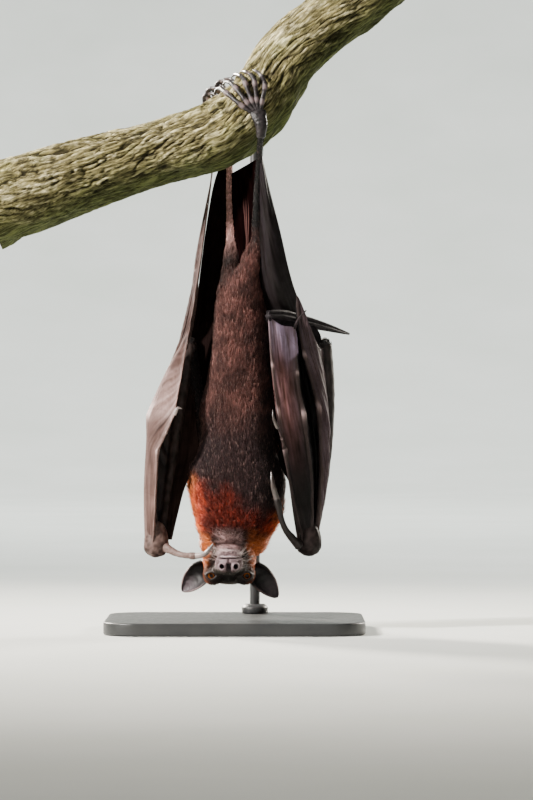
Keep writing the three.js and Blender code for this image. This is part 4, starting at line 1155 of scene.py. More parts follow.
def skin_tone(points):
    """Bare skin under the coat: the coat's colour, greyer and darker, and pinkish where the face is bare."""
    at = Places(points)
    x, y, z = at.head.T
    across, up = np.abs(x) - NOSTRIL[0], z - NOSTRIL[2]
    line = mouth_line(at.head)
    bare = laid(BARE["snout"], BARE["snout_top"], ramp(z, 3.5, 7.0) * ramp(-y, -41, -33))
    bare = laid(bare, BARE["pad"], bell(np.hypot(across, up), 4.2) * ramp(y, 36, 40) * 0.8)
    # Painted shade: the nostrils, the groove between them and the line of the mouth are painted dark as shade
    # in these hollows.
    hole = ramp(-np.hypot(across + 0.3, up), -2.7, -1.9) * ramp(y, 34, 37)
    bare = laid(bare, BARE["hole"], np.maximum(hole, 0.95 * cleft(at.head)))
    bare = laid(bare, BARE["mouth"], bell(line, 0.6) * ramp(y, -8, 2))
    # Painted highlight: a pale band along the lower lip stands in for the gloss on it.
    bare = laid(bare, BARE["lip"], 0.8 * bell(line, 1.2, -1.9) * ramp(y, 28, 36))
    tone = laid(marking(at) * 0.62, bare, ramp(at.muzzle, 0.2, 0.9))
    return laid(tone, BARE["lids"], bell(near_eye(at.head), 2.0) * ramp(y, 0, 3))


SKIN_CELL = 0.55
SKIN_POINTS, SKIN_QUADS = skin_mesh(SKIN_CELL)


def add_skin():
    nodes = ["head", "torso", "leg_left", "leg_right", "upper_arm_left", "upper_arm_right"]
    tone = skin_tone(SKIN_POINTS)
    make_object("bat_skin", SKIN_POINTS, [SKIN_QUADS], "skin", nodes, tone)


add_skin()

# ---------- eyes ----------


def add_eye(name, side):
    """A ball with a clear bulge over its iris. Its points carry their angle from the gaze."""
    ahead, across, up = gaze(side)
    polar = np.concatenate([np.linspace(0, 0.75, 26), np.linspace(0.8, math.pi, 22)])[1:-1, None, None]
    turn = around(48)[:, None]
    bulge = EYE_RADIUS + 0.45 * bell(polar, 0.5, power=4) - 0.35
    ring = (across * np.cos(turn) + up * np.sin(turn)) * np.sin(polar)
    centre = at_side(EYE, side)
    rings = from_head((ahead * np.cos(polar) + ring) * bulge + centre)
    ends = (from_head(ahead * (EYE_RADIUS + 0.1) + centre), from_head(centre - ahead * (EYE_RADIUS - 0.35)))
    points, faces = capped(rings, *ends)
    angle = np.concatenate([np.repeat(polar.ravel(), len(turn)), [0.0, math.pi]]) / 1.6
    make_object(f"eyeball_{name}", points, faces, "eye", [f"eye_{name}"], extra={"angle": angle})


for eye_name, eye_side in (("left", -1), ("right", 1)):
    add_eye(eye_name, eye_side)

# ---------- wings ----------

WINGS = {
    "left": {
        "forearm": [(-44, 26, 277), (-54, 22, 215), (-63, 12, 150), (-71, -5, 88)],
        "wrist": (-76, -10, 82),
        "second": [
            [(-78, -17, 86), (-75.5, -26, 135), (-73.5, -30, 174)],
            [(-66, -32, 190), (-58, -33, 209)],
        ],
        "third": [
            [(-84.5, -14, 86), (-85.5, -22, 136), (-82, -27, 208)],
            [(-65, -20, 250), (-45, -10, 291)],
            [(-36.5, -3, 338), (-29.5, 13, 390), (-22.5, 31, 446)],
        ],
        "fourth": [
            [(-81, -9, 83), (-84, -13, 140), (-80, -13, 206)],
            [(-65, -9, 247), (-50, -4, 282)],
            [(-43, 0, 312), (-36, 5, 338)],
        ],
        "fifth": [
            [(-77, -5, 83), (-78, -2, 140), (-73, 2, 208)],
            [(-65, 3, 236), (-55, 4, 262)],
            [(-47, 5, 284), (-42, 6, 300)],
        ],
        "folds": [(-2, 0, 0), (6, 1, 0), (-9, 3, 0)],
        "index_claw": [(-58, -33, 209), (-54.5, -33.6, 215.5), (-50.6, -33, 214.5)],
        "thumb": [(-68, -13, 81), (-54, -24, 74.5), (-38, -35, 73)],
        "thumb_claw": [(-38, -35, 73), (-28, -41, 75.5), (-20.4, -44, 85.4)],
        "front": [
            (-41, 23, 262), (-38, 10, 205), (-35, -2, 168), (-48, -9, 140), (-56, -12, 110), (-61, -12, 88),
        ],
        "trailing": [
            (-7, 39, 470), (-19.5, 30, 439), (-28, 20, 392), (-34, 11, 345), (-39, 13, 306),
            (-45, 25, 283), (-37, 20, 212), (-33, 15, 165),
        ],
        "fold": [
            (-8, 39, 462), (-14, 34, 420), (-19, 29, 380), (-24, 27, 340), (-29, 28, 300),
            (-36, 30, 262), (-35, 24, 212), (-33, 17, 166),
        ],
        "root": [
            (-6, 37, 455), (-4, 28, 410), (-2.5, 22, 372), (-7, 16, 335), (-17, 16, 300),
            (-23, 16, 255), (-30, 16, 212), (-31, 15, 167),
        ],
    },
    "right": {
        "forearm": [(87, 15, 276), (90, 12, 223), (88, 8, 170), (80, 1, 112), (74, -3, 88)],
        "wrist": (71.5, -7, 83),
        "second": [[(62, -13, 86), (54, -27, 140), (48.5, -34, 175)], [(45, -36, 186), (41.5, -38, 196)]],
        "third": [[(65, -11, 84), (51, -27, 150), (40, -35, 213)], [(35, -35, 260), (32, -31, 304)]],
        "fourth": [[(74, -8, 84), (73, -18, 150), (66, -23, 209)], [(60, -21, 243), (57, -17, 293)]],
        "fifth": [
            [(78, -5.5, 85), (83.5, -7, 150), (81.5, -8, 217)],
            [(73, -9, 247), (66, -9, 273)],
            [(62, -9.5, 300), (60, -10, 324)],
        ],
        "folds": [(0, -3, 0), (0, 10, 0), (7, -3, 0)],
        "furled": [(32, -31, 304), (46, -14, 303), (64, 6, 300), (90, 29, 294), (112, 50, 288)],
        "fourth_end": [(57, -17, 292), (62, -15, 302), (69, -13, 310)],
        "index_claw": [(41.5, -38, 196), (37.5, -39.5, 205), (36.5, -38, 214)],
        "thumb": [(62, -15, 82), (48, -24, 100), (40.5, -29, 127)],
        "thumb_claw": [(40.5, -29, 127), (37, -31.5, 140), (35, -28.5, 155)],
        "front": [(82, 13, 262), (58, 6, 205), (42, -3, 168), (54, -6, 140), (63, -9, 112), (68, -9, 92)],
        "trailing": [
            (26, -28, 458), (35, -27, 420), (44, -23, 385), (52, -15, 350), (59, -4, 327),
            (70, 12, 304), (84, 16, 283), (60, 14, 212), (42, 12, 165),
        ],
        "fold": [
            (25.5, -31, 452), (31, -31, 414), (34, -28, 376), (38, -22, 338), (44, -8, 312),
            (51, 8, 290), (52, 16, 262), (48, 17, 212), (40, 14, 166),
        ],
        "root": [
            (24, -28, 450), (22, -14, 410), (21, -7, 372), (20, 4, 335), (26, 10, 305),
            (30, 12, 280), (33, 13, 255), (35, 14, 212), (34, 14, 167),
        ],
    },
}
KNUCKLE = 0.45  # a palm bone's share of its finger
FINGER_JOINTS = ((0.455, 0.02), (0.715, 0.014))  # share along the finger and half length
# Rows along a finger: share, part of its own radius.
FINGER = [
    (0, 1.25), (0.1, 1), (0.25, 0.9), (0.38, 0.92), (0.43, 1.28), (0.455, 1.36), (0.485, 1.15), (0.53, 0.84),
    (0.66, 0.76), (0.7, 0.98), (0.72, 1.08), (0.745, 0.86), (0.8, 0.6), (1, 0.35),
]
FINGER_RADIUS = {"second": 2.0, "third": 2.6, "fourth": 2.3, "fifth": 2.4}
FOREARM = [(0, 7.2), (0.08, 7.4), (0.3, 6.8), (0.7, 5.4), (0.93, 5), (1, 5.6)]
THUMB = [(0, 4.6), (0.3, 3.5), (0.62, 2.8), (0.82, 3.0), (0.92, 3.6), (1, 3)]
CLAWS = {
    "thumb_claw": [(0, 2.9, 2.0), (0.4, 2.5, 1.6), (0.8, 1.4, 0.9), (1, 0.35, 0.3)],
    "index_claw": [(0, 1.9, 1.4), (0.5, 1.5, 1), (1, 0.35, 0.3)],
}
FURLED = [(0, 3.4, 5), (0.15, 4.2, 6.4), (0.5, 3.4, 5), (0.85, 1.9, 2.4), (1, 0.8, 0.9)]
MEMBRANE = 0.8
# How far the skin between the arm, the body and the leg is painted dark, as shade, on each side.
FLANK_SHADOW = {"left": 1.0, "right": 0.55}
WRIST = (12.2, 9.2, 11.2)
WRIST_ROOT = 24.0  # how far the wrist reaches up into the hand
# Tones of bones, knuckles, pale skin, skin, dark skin and claws. The right hand's are much darker copies of
# the left's: painted light on the left and painted shade on the right, not a difference of the skin.
WING_TONES = {
    "left": palette(
        bones=(122, 100, 94), knuckle=(186, 162, 156), pale=(104, 82, 77), skin=(70, 50, 44),
        dark=(20, 13, 12), claw=(158, 142, 138),
    ),
    "right": palette(
        bones=(54, 45, 44), knuckle=(118, 102, 102), pale=(46, 40, 44), skin=(29, 23, 22), dark=(11, 8, 8),
        claw=(52, 43, 41),
    ),
}
CLAW_TIP = {"left": 0.2, "right": 0.45}  # how light a claw's tip is beside its root
# Painted light and shade across the hand, as what its skin's tone is multiplied by: place (0, 2 and 4 are the
# fingers, 6 the forearm), red, green, blue. It is darker in the folds and next to the body, as shade, and
# lighter on lit panels; near the right hand's third finger it is also tinted red.
HAND_PAINTED_LIGHT = {
    "left": [
        (0, 1.2, 1.15, 1.15), (2, 1, 1, 1), (3, 0.5, 0.5, 0.5), (4, 0.9, 0.9, 0.9), (4.5, 0.3, 0.28, 0.27),
        (5.4, 0.16, 0.15, 0.14), (6, 0.3, 0.28, 0.27),
    ],
    "right": [
        (0, 1.3, 1.2, 1.2), (0.5, 1.7, 1.1, 1), (1.4, 1.3, 0.9, 0.85), (2, 1, 1, 1), (2.3, 0.4, 0.4, 0.4),
        (3.1, 0.2, 0.2, 0.2), (3.8, 0.5, 0.5, 0.5), (4.2, 1.2, 1.1, 1.1), (5, 1.5, 1.35, 1.35),
        (6, 1.3, 1.2, 1.2),
    ],
}
# Painted light and shade on the right hand's inner skin at each height: near black by the wrist and lighter
# further from it.
HAND_LIGHT_BY_HEIGHT = [(107, 0.12), (145, 0.2), (184, 1.5), (223, 4.1), (262, 3.2), (290, 3.2)]
# Painted light: a pale panel half way up the left hand, where its skin is lit.
LIT_PANEL = np.array([2.7, 3.1, 3.3])  # the pale panel half way up the left hand
# Painted sheen: a grey highlight painted on the top of the right hand's front.
PAINTED_TOP_SHEEN = np.array([11.5, 11.2, 13.8])  # the grey gloss at the top of the right hand's front


def finger(bones):
    """A finger as a function of its share. Its palm bone fills the shares up to the knuckle."""
    palm = Line(bones[0])
    others = Line([bones[0][-1]] + [p for bone in bones[1:] for p in bone])

    def at(t):
        t = np.atleast_1d(t)
        near = palm.along(np.clip(t / KNUCKLE, 0, 1))
        far = others.along(np.clip((t - KNUCKLE) / (1 - KNUCKLE), 0, 1))
        return np.where((t < KNUCKLE)[:, None], near, far)

    return at


def fold_between(a, b, push, short=0.14):
    """A fold half way between two fingers, pushed aside and ending short of their tips."""

    def at(t):
        t = np.atleast_1d(t)
        share = t * (1 - short * t)
        strength = row_values([(0, 0.2), (0.25, 0.8), (0.5, 1), (1, 0.9)], t)
        return (a(share) + b(share)) / 2 + strength * np.array(push, float)

    return at


def across(places, u):
    """Rows of points across lines that run side by side. places is a list of (rows, 3) arrays."""
    p = np.stack([2 * places[0] - places[1], *places, 2 * places[-1] - places[-2]])
    at = np.asarray(u) * (len(places) - 1)
    i = np.minimum(at.astype(int), len(places) - 2)
    return curve(p[i], p[i + 1], p[i + 2], p[i + 3], (at - i)[:, None, None]).transpose(1, 0, 2)


def gathered(stops, dense, count):
    """Shares from 0 to 1 over count stretches, closer together by the stops, which are given as places."""
    x = np.linspace(0, count, 4000)
    total = np.cumsum(1 + dense * sum(bell(x, 0.16, s) for s in stops))
    total = (total - total[0]) / (total[-1] - total[0])
    return np.interp(np.linspace(0, 1, 34 * count), total, x) / count


def wing_skin(places, bones, columns, rows, seed, pleat=1.0):
    """A sheet of wing skin across lines side by side, with bones, (place, radius), as round ridges.

    Returns its middle, half thickness, nearness to a bone and grain, and the share of each row.
    """
    v = np.linspace(0, 1, rows)
    middle = across([place(v) for place in places], columns)
    step = np.linalg.norm(np.diff(middle, axis=1), axis=2)
    run = np.concatenate([np.zeros((rows, 1)), np.cumsum(step, axis=1)], axis=1)
    profile = row_values(FINGER, v)
    half, bone = np.full(run.shape, MEMBRANE / 2), np.zeros(run.shape)
    for place, radius in bones:
        centre = np.array([np.interp(place / (len(places) - 1), columns, row) for row in run])
        r = radius * profile
        d = np.abs(run - centre[:, None])
        fillet = MEMBRANE / 2 + 0.9 * bell(np.maximum(d - r, 0), 1.6)
        half = np.maximum(half, np.maximum(np.sqrt(np.maximum(r**2 - d**2, 0)), fillet * (r > 0.9)))
        bone = np.maximum(bone, ramp(-d, -r * 1.25, -r * 0.6))
    edge_u = np.minimum(columns, 1 - columns)[None] * (len(places) - 1)
    edge = ramp(edge_u, 0.0, 0.5) * ramp(np.minimum(v, 1 - v)[:, None], 0.0, 0.05)
    normal = unit(np.cross(np.gradient(middle, axis=1), np.gradient(middle, axis=0)))
    length = np.concatenate([[0], np.cumsum(np.linalg.norm(np.diff(middle[:, 0], axis=0), axis=1))])

    def creases(wide, long, number):
        q = np.stack(np.broadcast_arrays(run / wide, length[:, None] / long, float(seed)), axis=-1)
        return noise(q.reshape(-1, 3), seed + number).reshape(run.shape)

    wide, narrow, crosswise = creases(7.5, 60, 0), creases(2.4, 22, 5), creases(16, 9, 9)
    loose = (1 - bone) * edge * pleat
    middle = middle + normal * (loose * (1.5 * wide + 0.55 * narrow + 0.45 * crosswise))[..., None]
    half = np.where(edge_u < 0.03, half * 0.75, half)
    return middle, half, bone, wide * 0.6 + narrow * 0.5, v


def hand_painted_light(name, middle, place):
    """The painted light and shade that the hand's tone is multiplied by at each point."""
    shade = np.broadcast_to(row_values(HAND_PAINTED_LIGHT[name], place)[None], middle.shape)
    x, z = middle[..., 0], middle[..., 2]
    if name == "left":
        # The left hand: a pale panel painted half way up as a lit patch, and painted shade further up.
        lit_pale = ramp(z, 198, 216) * ramp(-z, -262, -240)
        return shade * mix(1.0, 0.72, ramp(z, 262, 300))[..., None] * laid(1.0, LIT_PANEL, lit_pale)
    # The right hand: the inner skin takes painted light by height, the fold in the middle is painted darker
    # and the outer panel lighter, and gloss marks where a grey sheen is painted at the top of the front.
    inner = ramp(2.3 - place, 0, 0.3)
    height = row_values(HAND_LIGHT_BY_HEIGHT, z.ravel()).reshape(z.shape)
    shade = shade * mix(mix(0.5, 2.0, ramp(place, 3.8, 4.1)), height, inner)[..., None]
    reach = 1.6 + 1.5 * ramp(z, 258, 276)
    gloss = ramp(z + 1.1 * (x - 45), 250, 288) * ramp(-z, -312, -298) * ramp(reach - place, 0, 0.4)
    return laid(shade, PAINTED_TOP_SHEEN, gloss)


def wing_tone(name, middle, bone, grain, v, darker):
    """The colour of each point of a sheet: pale over bones and joints, darker between them."""
    tones = WING_TONES[name]
    tone = laid(tones["skin"], tones["pale"], ramp(grain, -0.3, 0.35))
    tone = laid(tone, tones["dark"], ramp(-grain, 0.08, 0.4) * 0.7)
    joints = sum(bell(v, long, at) for at, long in FINGER_JOINTS)
    over = laid(tones["bones"], tones["knuckle"], np.clip(joints, 0, 1))
    # darker paints the sheet towards the dark tone, as shade.
    tone = mix(laid(tone, over[:, None], 0.85 * bone), tones["dark"], darker)
    patch = layers(middle.reshape(-1, 3) / 12, 3, 71).reshape(bone.shape)
    return tone * (1 + 0.28 * patch)[..., None]


def add_sheet(body, name, places, bones, columns, rows, seed, pleat=1.0, darker=0.0):
    """A sheet of wing skin in a body, painted dark as shade by darker. One that is made no darker takes the
    hand's painted light and shade.
    """
    middle, half, bone, grain, v = wing_skin(places, bones, columns, rows, seed, pleat)
    tone = wing_tone(name, middle, bone, grain, v, darker)
    if darker == 0:
        shade = hand_painted_light(name, middle, columns * (len(places) - 1))
        tone = tone * mix(shade, 1.0, 0.7 * bone[..., None])
    body.add(*sheet(middle, half), np.vstack([tone.reshape(-1, 3)] * 2))


def wrist(centre, seed, wide=44, high=36):
    """A lumpy knob at the wrist, drawn out into the hand."""
    a, t = grid(np.linspace(0, math.pi, high + 2)[1:-1], around(wide))
    way = np.stack([np.sin(a) * np.cos(t), np.sin(a) * np.sin(t), np.cos(a)], axis=1)
    way = np.vstack([way, [[0, 0, 1], [0, 0, -1]]])
    swell = 1 + 0.09 * layers(way * 2.6, 4, seed)
    reach = np.array(WRIST) * np.ones_like(way)
    reach[:, 2] = np.where(way[:, 2] > 0, WRIST_ROOT, reach[:, 2])
    points = np.array(centre, float) + way * reach * swell[:, None]
    return capped(points[:-2].reshape(high, wide, 3), *points[-2:], flip=True)


def crease(seed, depth, along):
    """Small rings and lengthwise folds for a limb's skin, as a part of its radius."""

    def at(share, angle):
        shape = np.broadcast(share, angle).shape
        s, a = np.broadcast_to(share, shape), np.broadcast_to(angle, shape)
        q = np.stack([np.cos(a) * 1.4, np.sin(a) * 1.4, s * along / 4], axis=-1).reshape(-1, 3)
        rings = np.sin(s * along + 1.5 * np.sin(a * 2 + seed))
        folds = layers(q, 3, seed).reshape(shape)
        return depth * (0.45 * rings * np.clip(folds + 0.3, 0, 1) + 1.6 * folds)

    return at


def add_limb(body, shape, dark, light, size, seed, low=-0.4, high=0.4):
    """A shape in a body, in a mottle of two tones."""
    points, faces = shape
    body.add(points, faces, mix(dark, light, mottled(points, size, seed, low, high)))


def add_claw(body, root, shape, root_tone, tip_tone, near, far):
    """A claw in a body, whose tone turns to the tip's between two distances from its root."""
    points, faces = shape
    share = ramp(np.linalg.norm(points - np.array(root), axis=1), near, far)
    body.add(points, faces, laid(root_tone, tip_tone, share))


def furled_tip(body, wing, tones):
    """The end of the right hand's third finger, wound in its own skin, and the fourth finger's last bone."""

    def flutes(share, angle):
        return 0.25 * np.cos(6 * angle + 2 * share) + 0.05 * np.cos(17 * angle)

    dark, pale = tones["dark"], tones["pale"]
    wound = tube(Line(wing["furled"]), FURLED, 60, 70, (0, 0, 1), flutes, 0.4)
    add_limb(body, wound, mix(dark, pale, 0.2), mix(dark, pale, 0.8), (3, 3, 2.0), 72, -0.3)
    body.add(*tube(Line(wing["fourth_end"]), [(0, 1.6), (1, 0.6)], 12, 12), mix(tones["bones"], pale, 0.5))


def add_hand(name, wing, tones, rows, seed):
    """The folded hand: its skin from the second finger to the forearm, and the wrist."""
    second, third, fourth, fifth = (finger(wing[key]) for key in FINGER_RADIUS)
    arm = Line(wing["forearm"][::-1]).along
    push = wing["folds"]
    places = [
        third,
        fold_between(third, fourth, push[0], 0.14 if name == "left" else 0.02),
        fourth,
        fold_between(fourth, fifth, push[1]),
        fifth,
        fold_between(fifth, arm, push[2]),
        arm,
    ]

    def beside(share):
        """The line along the third finger where the second finger's skin ends."""
        return third(mix(0.04, 0.68, np.atleast_1d(share)))

    hand = Body()
    ridges = [(0, FINGER_RADIUS["third"]), (2, FINGER_RADIUS["fourth"]), (4, FINGER_RADIUS["fifth"])]
    add_sheet(hand, name, places, ridges, gathered((0, 2, 4), 2.2, 6), rows, seed)
    ridges = [(0, FINGER_RADIUS["second"])]
    add_sheet(hand, name, [second, beside], ridges, gathered((0,), 2.2, 1), rows // 2, seed + 20, 0.8)
    points, faces = wrist(wing["wrist"], seed)
    dimple = ramp(-layers(points / 4, 3, seed), -0.4, 0.4)
    skin = tones["skin"]
    hand.add(points, faces, laid(mix(skin, tones["bones"], 0.7), mix(skin, tones["dark"], 0.3), dimple))
    if "furled" in wing:
        furled_tip(hand, wing, tones)
    hand.made(f"wing_hand_{name}", "wing" if name == "left" else "dull_wing", [f"hand_{name}"])


def add_arm(name, wing, tones, seed):
    """The forearm, the thumb and the claws."""
    bones, skin = tones["bones"], tones["skin"]
    shape = tube(Line(wing["forearm"]), FOREARM, 36, 130, bumps=crease(seed, 0.05, 90))
    # Painted shade: the left forearm's tones are made much darker.
    shadow_factor = 0.3 if name == "left" else 1.0
    limb = Body()
    add_limb(limb, shape, shadow_factor * mix(skin, tones["dark"], 0.3), shadow_factor * mix(bones, skin, 0.4), (4, 4, 9.0), 73)
    limb.made(f"forearm_skin_{name}", "wing", [f"forearm_{name}"])
    shape = tube(Line(wing["thumb"]), THUMB, 28, 60, bumps=crease(seed + 1, 0.07, 60))
    # The thumb's pale tone is lighter on the left hand, as painted light.
    lit_pale = mix(bones, tones["knuckle"], 0.12) if name == "left" else skin
    thumb = Body()
    add_limb(thumb, shape, mix(skin, lit_pale, 0.4), lit_pale, 3, 74)
    thumb.made(f"thumb_skin_{name}", "wing", [f"thumb_{name}"])
    for key, radii in CLAWS.items():
        claw = Body()
        shape = tube(Line(wing[key]), radii, 22, 40, tip=0.3)
        add_claw(claw, wing[key][0], shape, tones["claw"], tones["claw"] * CLAW_TIP[name], 1, 16)
        claw.made(f"{key}_horn_{name}", "claw", [f"{key}_{name}"])


def add_membranes(name, wing, rows, seed):
    """The skin before the arm and the skin between the arm, the body and the leg."""
    soft = "matt_wing" if name == "left" else "tail"
    front, flank = Body(), Body()
    lines = [Line(wing[key]).along for key in ("forearm", "front")]
    # Painted shade: both sheets are painted dark, the one before the arm by 0.85 and the one beside the body
    # by a share for each side.
    add_sheet(front, name, lines, [], np.linspace(0, 1, 36), rows // 2, seed + 30, 1.0, 0.85)
    front.made(f"wing_front_{name}", soft, [f"shoulder_membrane_{name}"])
    lines = [Line(wing[key]).along for key in ("trailing", "fold", "root")]
    add_sheet(flank, name, lines, [], np.linspace(0, 1, 60), rows, seed + 40, 1.2, FLANK_SHADOW[name])
    flank.made(f"wing_flank_{name}", soft, [f"flank_membrane_{name}"])


for wing_name, wing_shape in WINGS.items():
    wing_rows = 160
    wing_seed = 3 if wing_name == "left" else 4
    add_hand(wing_name, wing_shape, WING_TONES[wing_name], wing_rows, wing_seed)
    add_arm(wing_name, wing_shape, WING_TONES[wing_name], wing_seed)
    add_membranes(wing_name, wing_shape, wing_rows, wing_seed)

TAIL = {
    "left": [(-4.5, 34, 444), (-3.5, 27, 405), (-2, 21, 372), (0, 12, 341)],
    "right": [(23, -28, 456), (22, -18, 420), (21, -8, 380), (12, 0, 341)],
}
TAIL_COLUMNS = 96
TAIL_FOLDS = [(0.42, 0.22), (0.5, 0.16), (0.6, 0.1)]  # where each starts across the skin and how far it leans
TAIL_FOLD_WIDTH = 0.013
# The fold tone is a pale line painted as a highlight along a fold.
TAIL_TONES = palette(light=(14, 5, 5), dark=(6, 2, 2), fold=(112, 78, 74))


def add_tail():
    """The skin between the legs, with pale fold lines painted on it as highlights."""
    lines = [Line(TAIL[key]).along for key in ("left", "right")]
    u = np.linspace(0, 1, TAIL_COLUMNS)
    middle, half, _, grain, v = wing_skin(lines, [], u, 100, 60, 1.2)
    fold = sum(bell(u - at - lean * v[:, None], TAIL_FOLD_WIDTH) for at, lean in TAIL_FOLDS)
    fold = 0.6 * np.clip(fold, 0, 1) * ramp(v, 0.25, 0.5)[:, None]
    tone = laid(TAIL_TONES["light"], TAIL_TONES["dark"], ramp(grain, -0.3, 0.3))
    tone = laid(tone, TAIL_TONES["fold"], fold)
    tail = Body().add(*sheet(middle, half), np.vstack([tone.reshape(-1, 3)] * 2))
    tail.made("tail_skin", "matt_wing", ["tail_membrane"])


add_tail()

# ---------- ears ----------

# Side, root and tip in the head's frame.
EARS = {
    "left": (-1, (-21.5, -8, 5), (-45.9, -16, 27.7)),
    "right": (1, (21.5, -8, 6), (47.2, -16, 33.5)),
}
EAR_WIDTH = [
    (0, 0.8), (0.2, 1), (0.45, 0.98), (0.7, 0.74), (0.86, 0.46), (0.94, 0.29), (0.98, 0.15), (1, 0.02),
]
EAR_CURL = 1.35
EAR_TONES = palette(root=(13, 8, 9), tip=(72, 61, 66), rim=(138, 116, 114))


def add_ear(name):
    """A cupped, pointed ear with faint ribs and a pale rim."""
    side, root, tip = EARS[name]
    root, tip = np.array(root, float), np.array(tip, float)
    length = np.linalg.norm(tip - root)
    axis = (tip - root) / length
    over = unit(np.cross(axis, np.array([side * 0.42, 1, -0.1])))
    back = unit(np.cross(over, axis))
    back = -back if back[1] > 0 else back
    rows, columns = 72, 60
    v, u = grid(np.sin(np.linspace(0, math.pi / 2, rows)) ** 1.2, np.linspace(0, 1, columns))
    s = 2 * u - 1
    wide = 11 * row_values(EAR_WIDTH, v)[:, 0] * np.sin(s * EAR_CURL) / math.sin(EAR_CURL)
    cup = (8.5 * (1 - v) ** 0.8 + 1) * (1 - s * s) - 2.5 * (1 - v)
    lean = 3 * np.sin(math.pi * v)
    ribs = 0.28 * np.sin((v - 0.35 * s * s) * 34) * ramp(-np.abs(s), -0.9, -0.5)
    ribs = ribs * ramp(v, 0.08, 0.25) * ramp(-v, -0.92, -0.7)
    place = root + axis * (length * v)[:, None] + over * wide[:, None] + back * (cup - lean + ribs)[:, None]
    points = from_head(place)
    rim = bell(1 - np.abs(s), 0.07)
    half = (mix(1.7, 0.75, v) * 0.5 + 0.3 * rim * ramp(-v, -0.96, -0.8)) * mix(1, 0.45, ramp(v, 0.86, 1))
    tone = laid(EAR_TONES["root"], EAR_TONES["tip"], ramp(v, 0.35, 0.85))
    tone = laid(tone, EAR_TONES["rim"], 0.6 * rim * ramp(v, 0.2, 0.6))
    tone = tone * (1 + 0.3 * layers(points / 4, 3, 75))[:, None]
    shape = sheet(points.reshape(rows, columns, 3), half.reshape(rows, columns))
    skin = Body().add(*shape, np.vstack([tone] * 2))
    skin.made(f"ear_skin_{name}", "skin", [f"ear_{name}"])


for ear_name in EARS:
    add_ear(ear_name)

# ---------- feet ----------

# Toes and claws of the right foot: X, Z and height over the bark.
RIGHT_TOES = [
    ([(20, 497, 3.8), (3, 509, 3.8), (-8, 519, 4.4), (-14, 524.5, 4.6)], [(-18.4, 524, 3.4), (-21, 519, 1)]),
    ([(21, 499, 3.9), (8, 514, 4.2), (-0.5, 525.5, 5), (-5, 530, 5.2)], [(-10, 531, 3.6), (-13.6, 527, 1)]),
    ([(22, 500, 4), (14, 517, 4.5), (9, 531, 5.6), (5.4, 536, 5.6)], [(0.4, 538, 4), (-4, 535.5, 1)]),
    (
        [(23, 500, 4), (20.5, 517, 4.8), (18.5, 531, 6), (14.8, 536.8, 5.8)],
        [(10.5, 539.5, 4.4), (5.8, 541, 1)],
    ),
    ([(24, 499, 3.8), (27, 514, 4.3), (29, 527, 5.2), (26, 534.5, 5.8)], [(22, 538.6, 4.6), (17, 541.8, 1)]),
]
# The left foot grips behind the branch: share along it, angle round it and height over the bark.
LEFT_FOOT_SHARE = 0.531
LEFT_TOE_FAN = ((-0.03, 0.1), (-0.015, 0), (0, 0.1), (0.015, 0), (0.03, 0.1))
# How far a point follows its toe's fan, its share beside the foot's, its angle and its height.
LEFT_TOE = [
    (0.2, 0.004, 2.85, 4.2), (0.7, -0.006, 2.5, 8), (1, -0.014, 2.22, 12), (1, -0.006, 2.05, 15),
    (1, 0.007, 1.98, 13.5),
]
LEFT_CLAW = [(1, 0.017, 1.93, 8.5), (1, 0.021, 1.92, 1.6)]
INSTEP = [(0, 4, 4.4), (0.5, 3.8, 6), (1, 3.2, 8)]
TOE = [(0, 2.3), (0.18, 2.15), (0.3, 2.6), (0.42, 2.1), (0.62, 2.35), (0.7, 2.75), (0.8, 2.3), (1, 2.2)]
TOE_JOINTS = np.array([0.3, 0.7])
TOE_CLAW = [(0, 1.9, 1.5), (0.5, 1.5, 1.1), (1, 0.4, 0.35)]
FOOT_TONES = palette(
    dark=(14, 11, 11), pale=(64, 55, 57), joint=(150, 130, 130), claw=(84, 72, 70), claw_tip=(24, 20, 21)
)


def on_bark(x, z, lift):
    """A point before the branch at a height over its bark, from its place in the XZ plane."""
    share = np.linspace(0, 1, 400)
    away = np.linalg.norm(BRANCH.along(share) - np.array([x, 0, z]), axis=1)
    best = away.argmin()
    reach = row_values(BRANCH_RADIUS, [share[best]])[0, 0] + lift
    return (x, -math.sqrt(max(reach * reach - away[best] ** 2, 0)), z)


def over_bark(share, angle, lift):
    """A point over the bark, from the share along the branch, the angle round it and the height."""
    reach = row_values(BRANCH_RADIUS, [share])[0, 0] + lift
    return tuple(BRANCH.along(share)[0] + branch_direction(np.array([share]), np.array([angle]))[0] * reach)


def left_toe(part, fan, turn):
    """The points of a toe or claw of the left foot, set off from the others by a fan and a turn."""
    return [
        over_bark(LEFT_FOOT_SHARE + fan * far + share, angle + turn * far, high)
        for far, share, angle, high in part
    ]


def foot_lines(name):
    """The points of the instep, and of each toe and its claw."""
    heel = LEGS[name][3]
    if name == "left":
        toes = [(left_toe(LEFT_TOE, *set_off), left_toe(LEFT_CLAW, *set_off)) for set_off in LEFT_TOE_FAN]
        return [heel, (0, 43, 487), over_bark(0.545, 2.75, 4.4)], toes
    toes = [([on_bark(*p) for p in toe], [on_bark(*p) for p in claw]) for toe, claw in RIGHT_TOES]
    return [heel, (25.5, -41, 487), (22, -38.5, 500)], toes


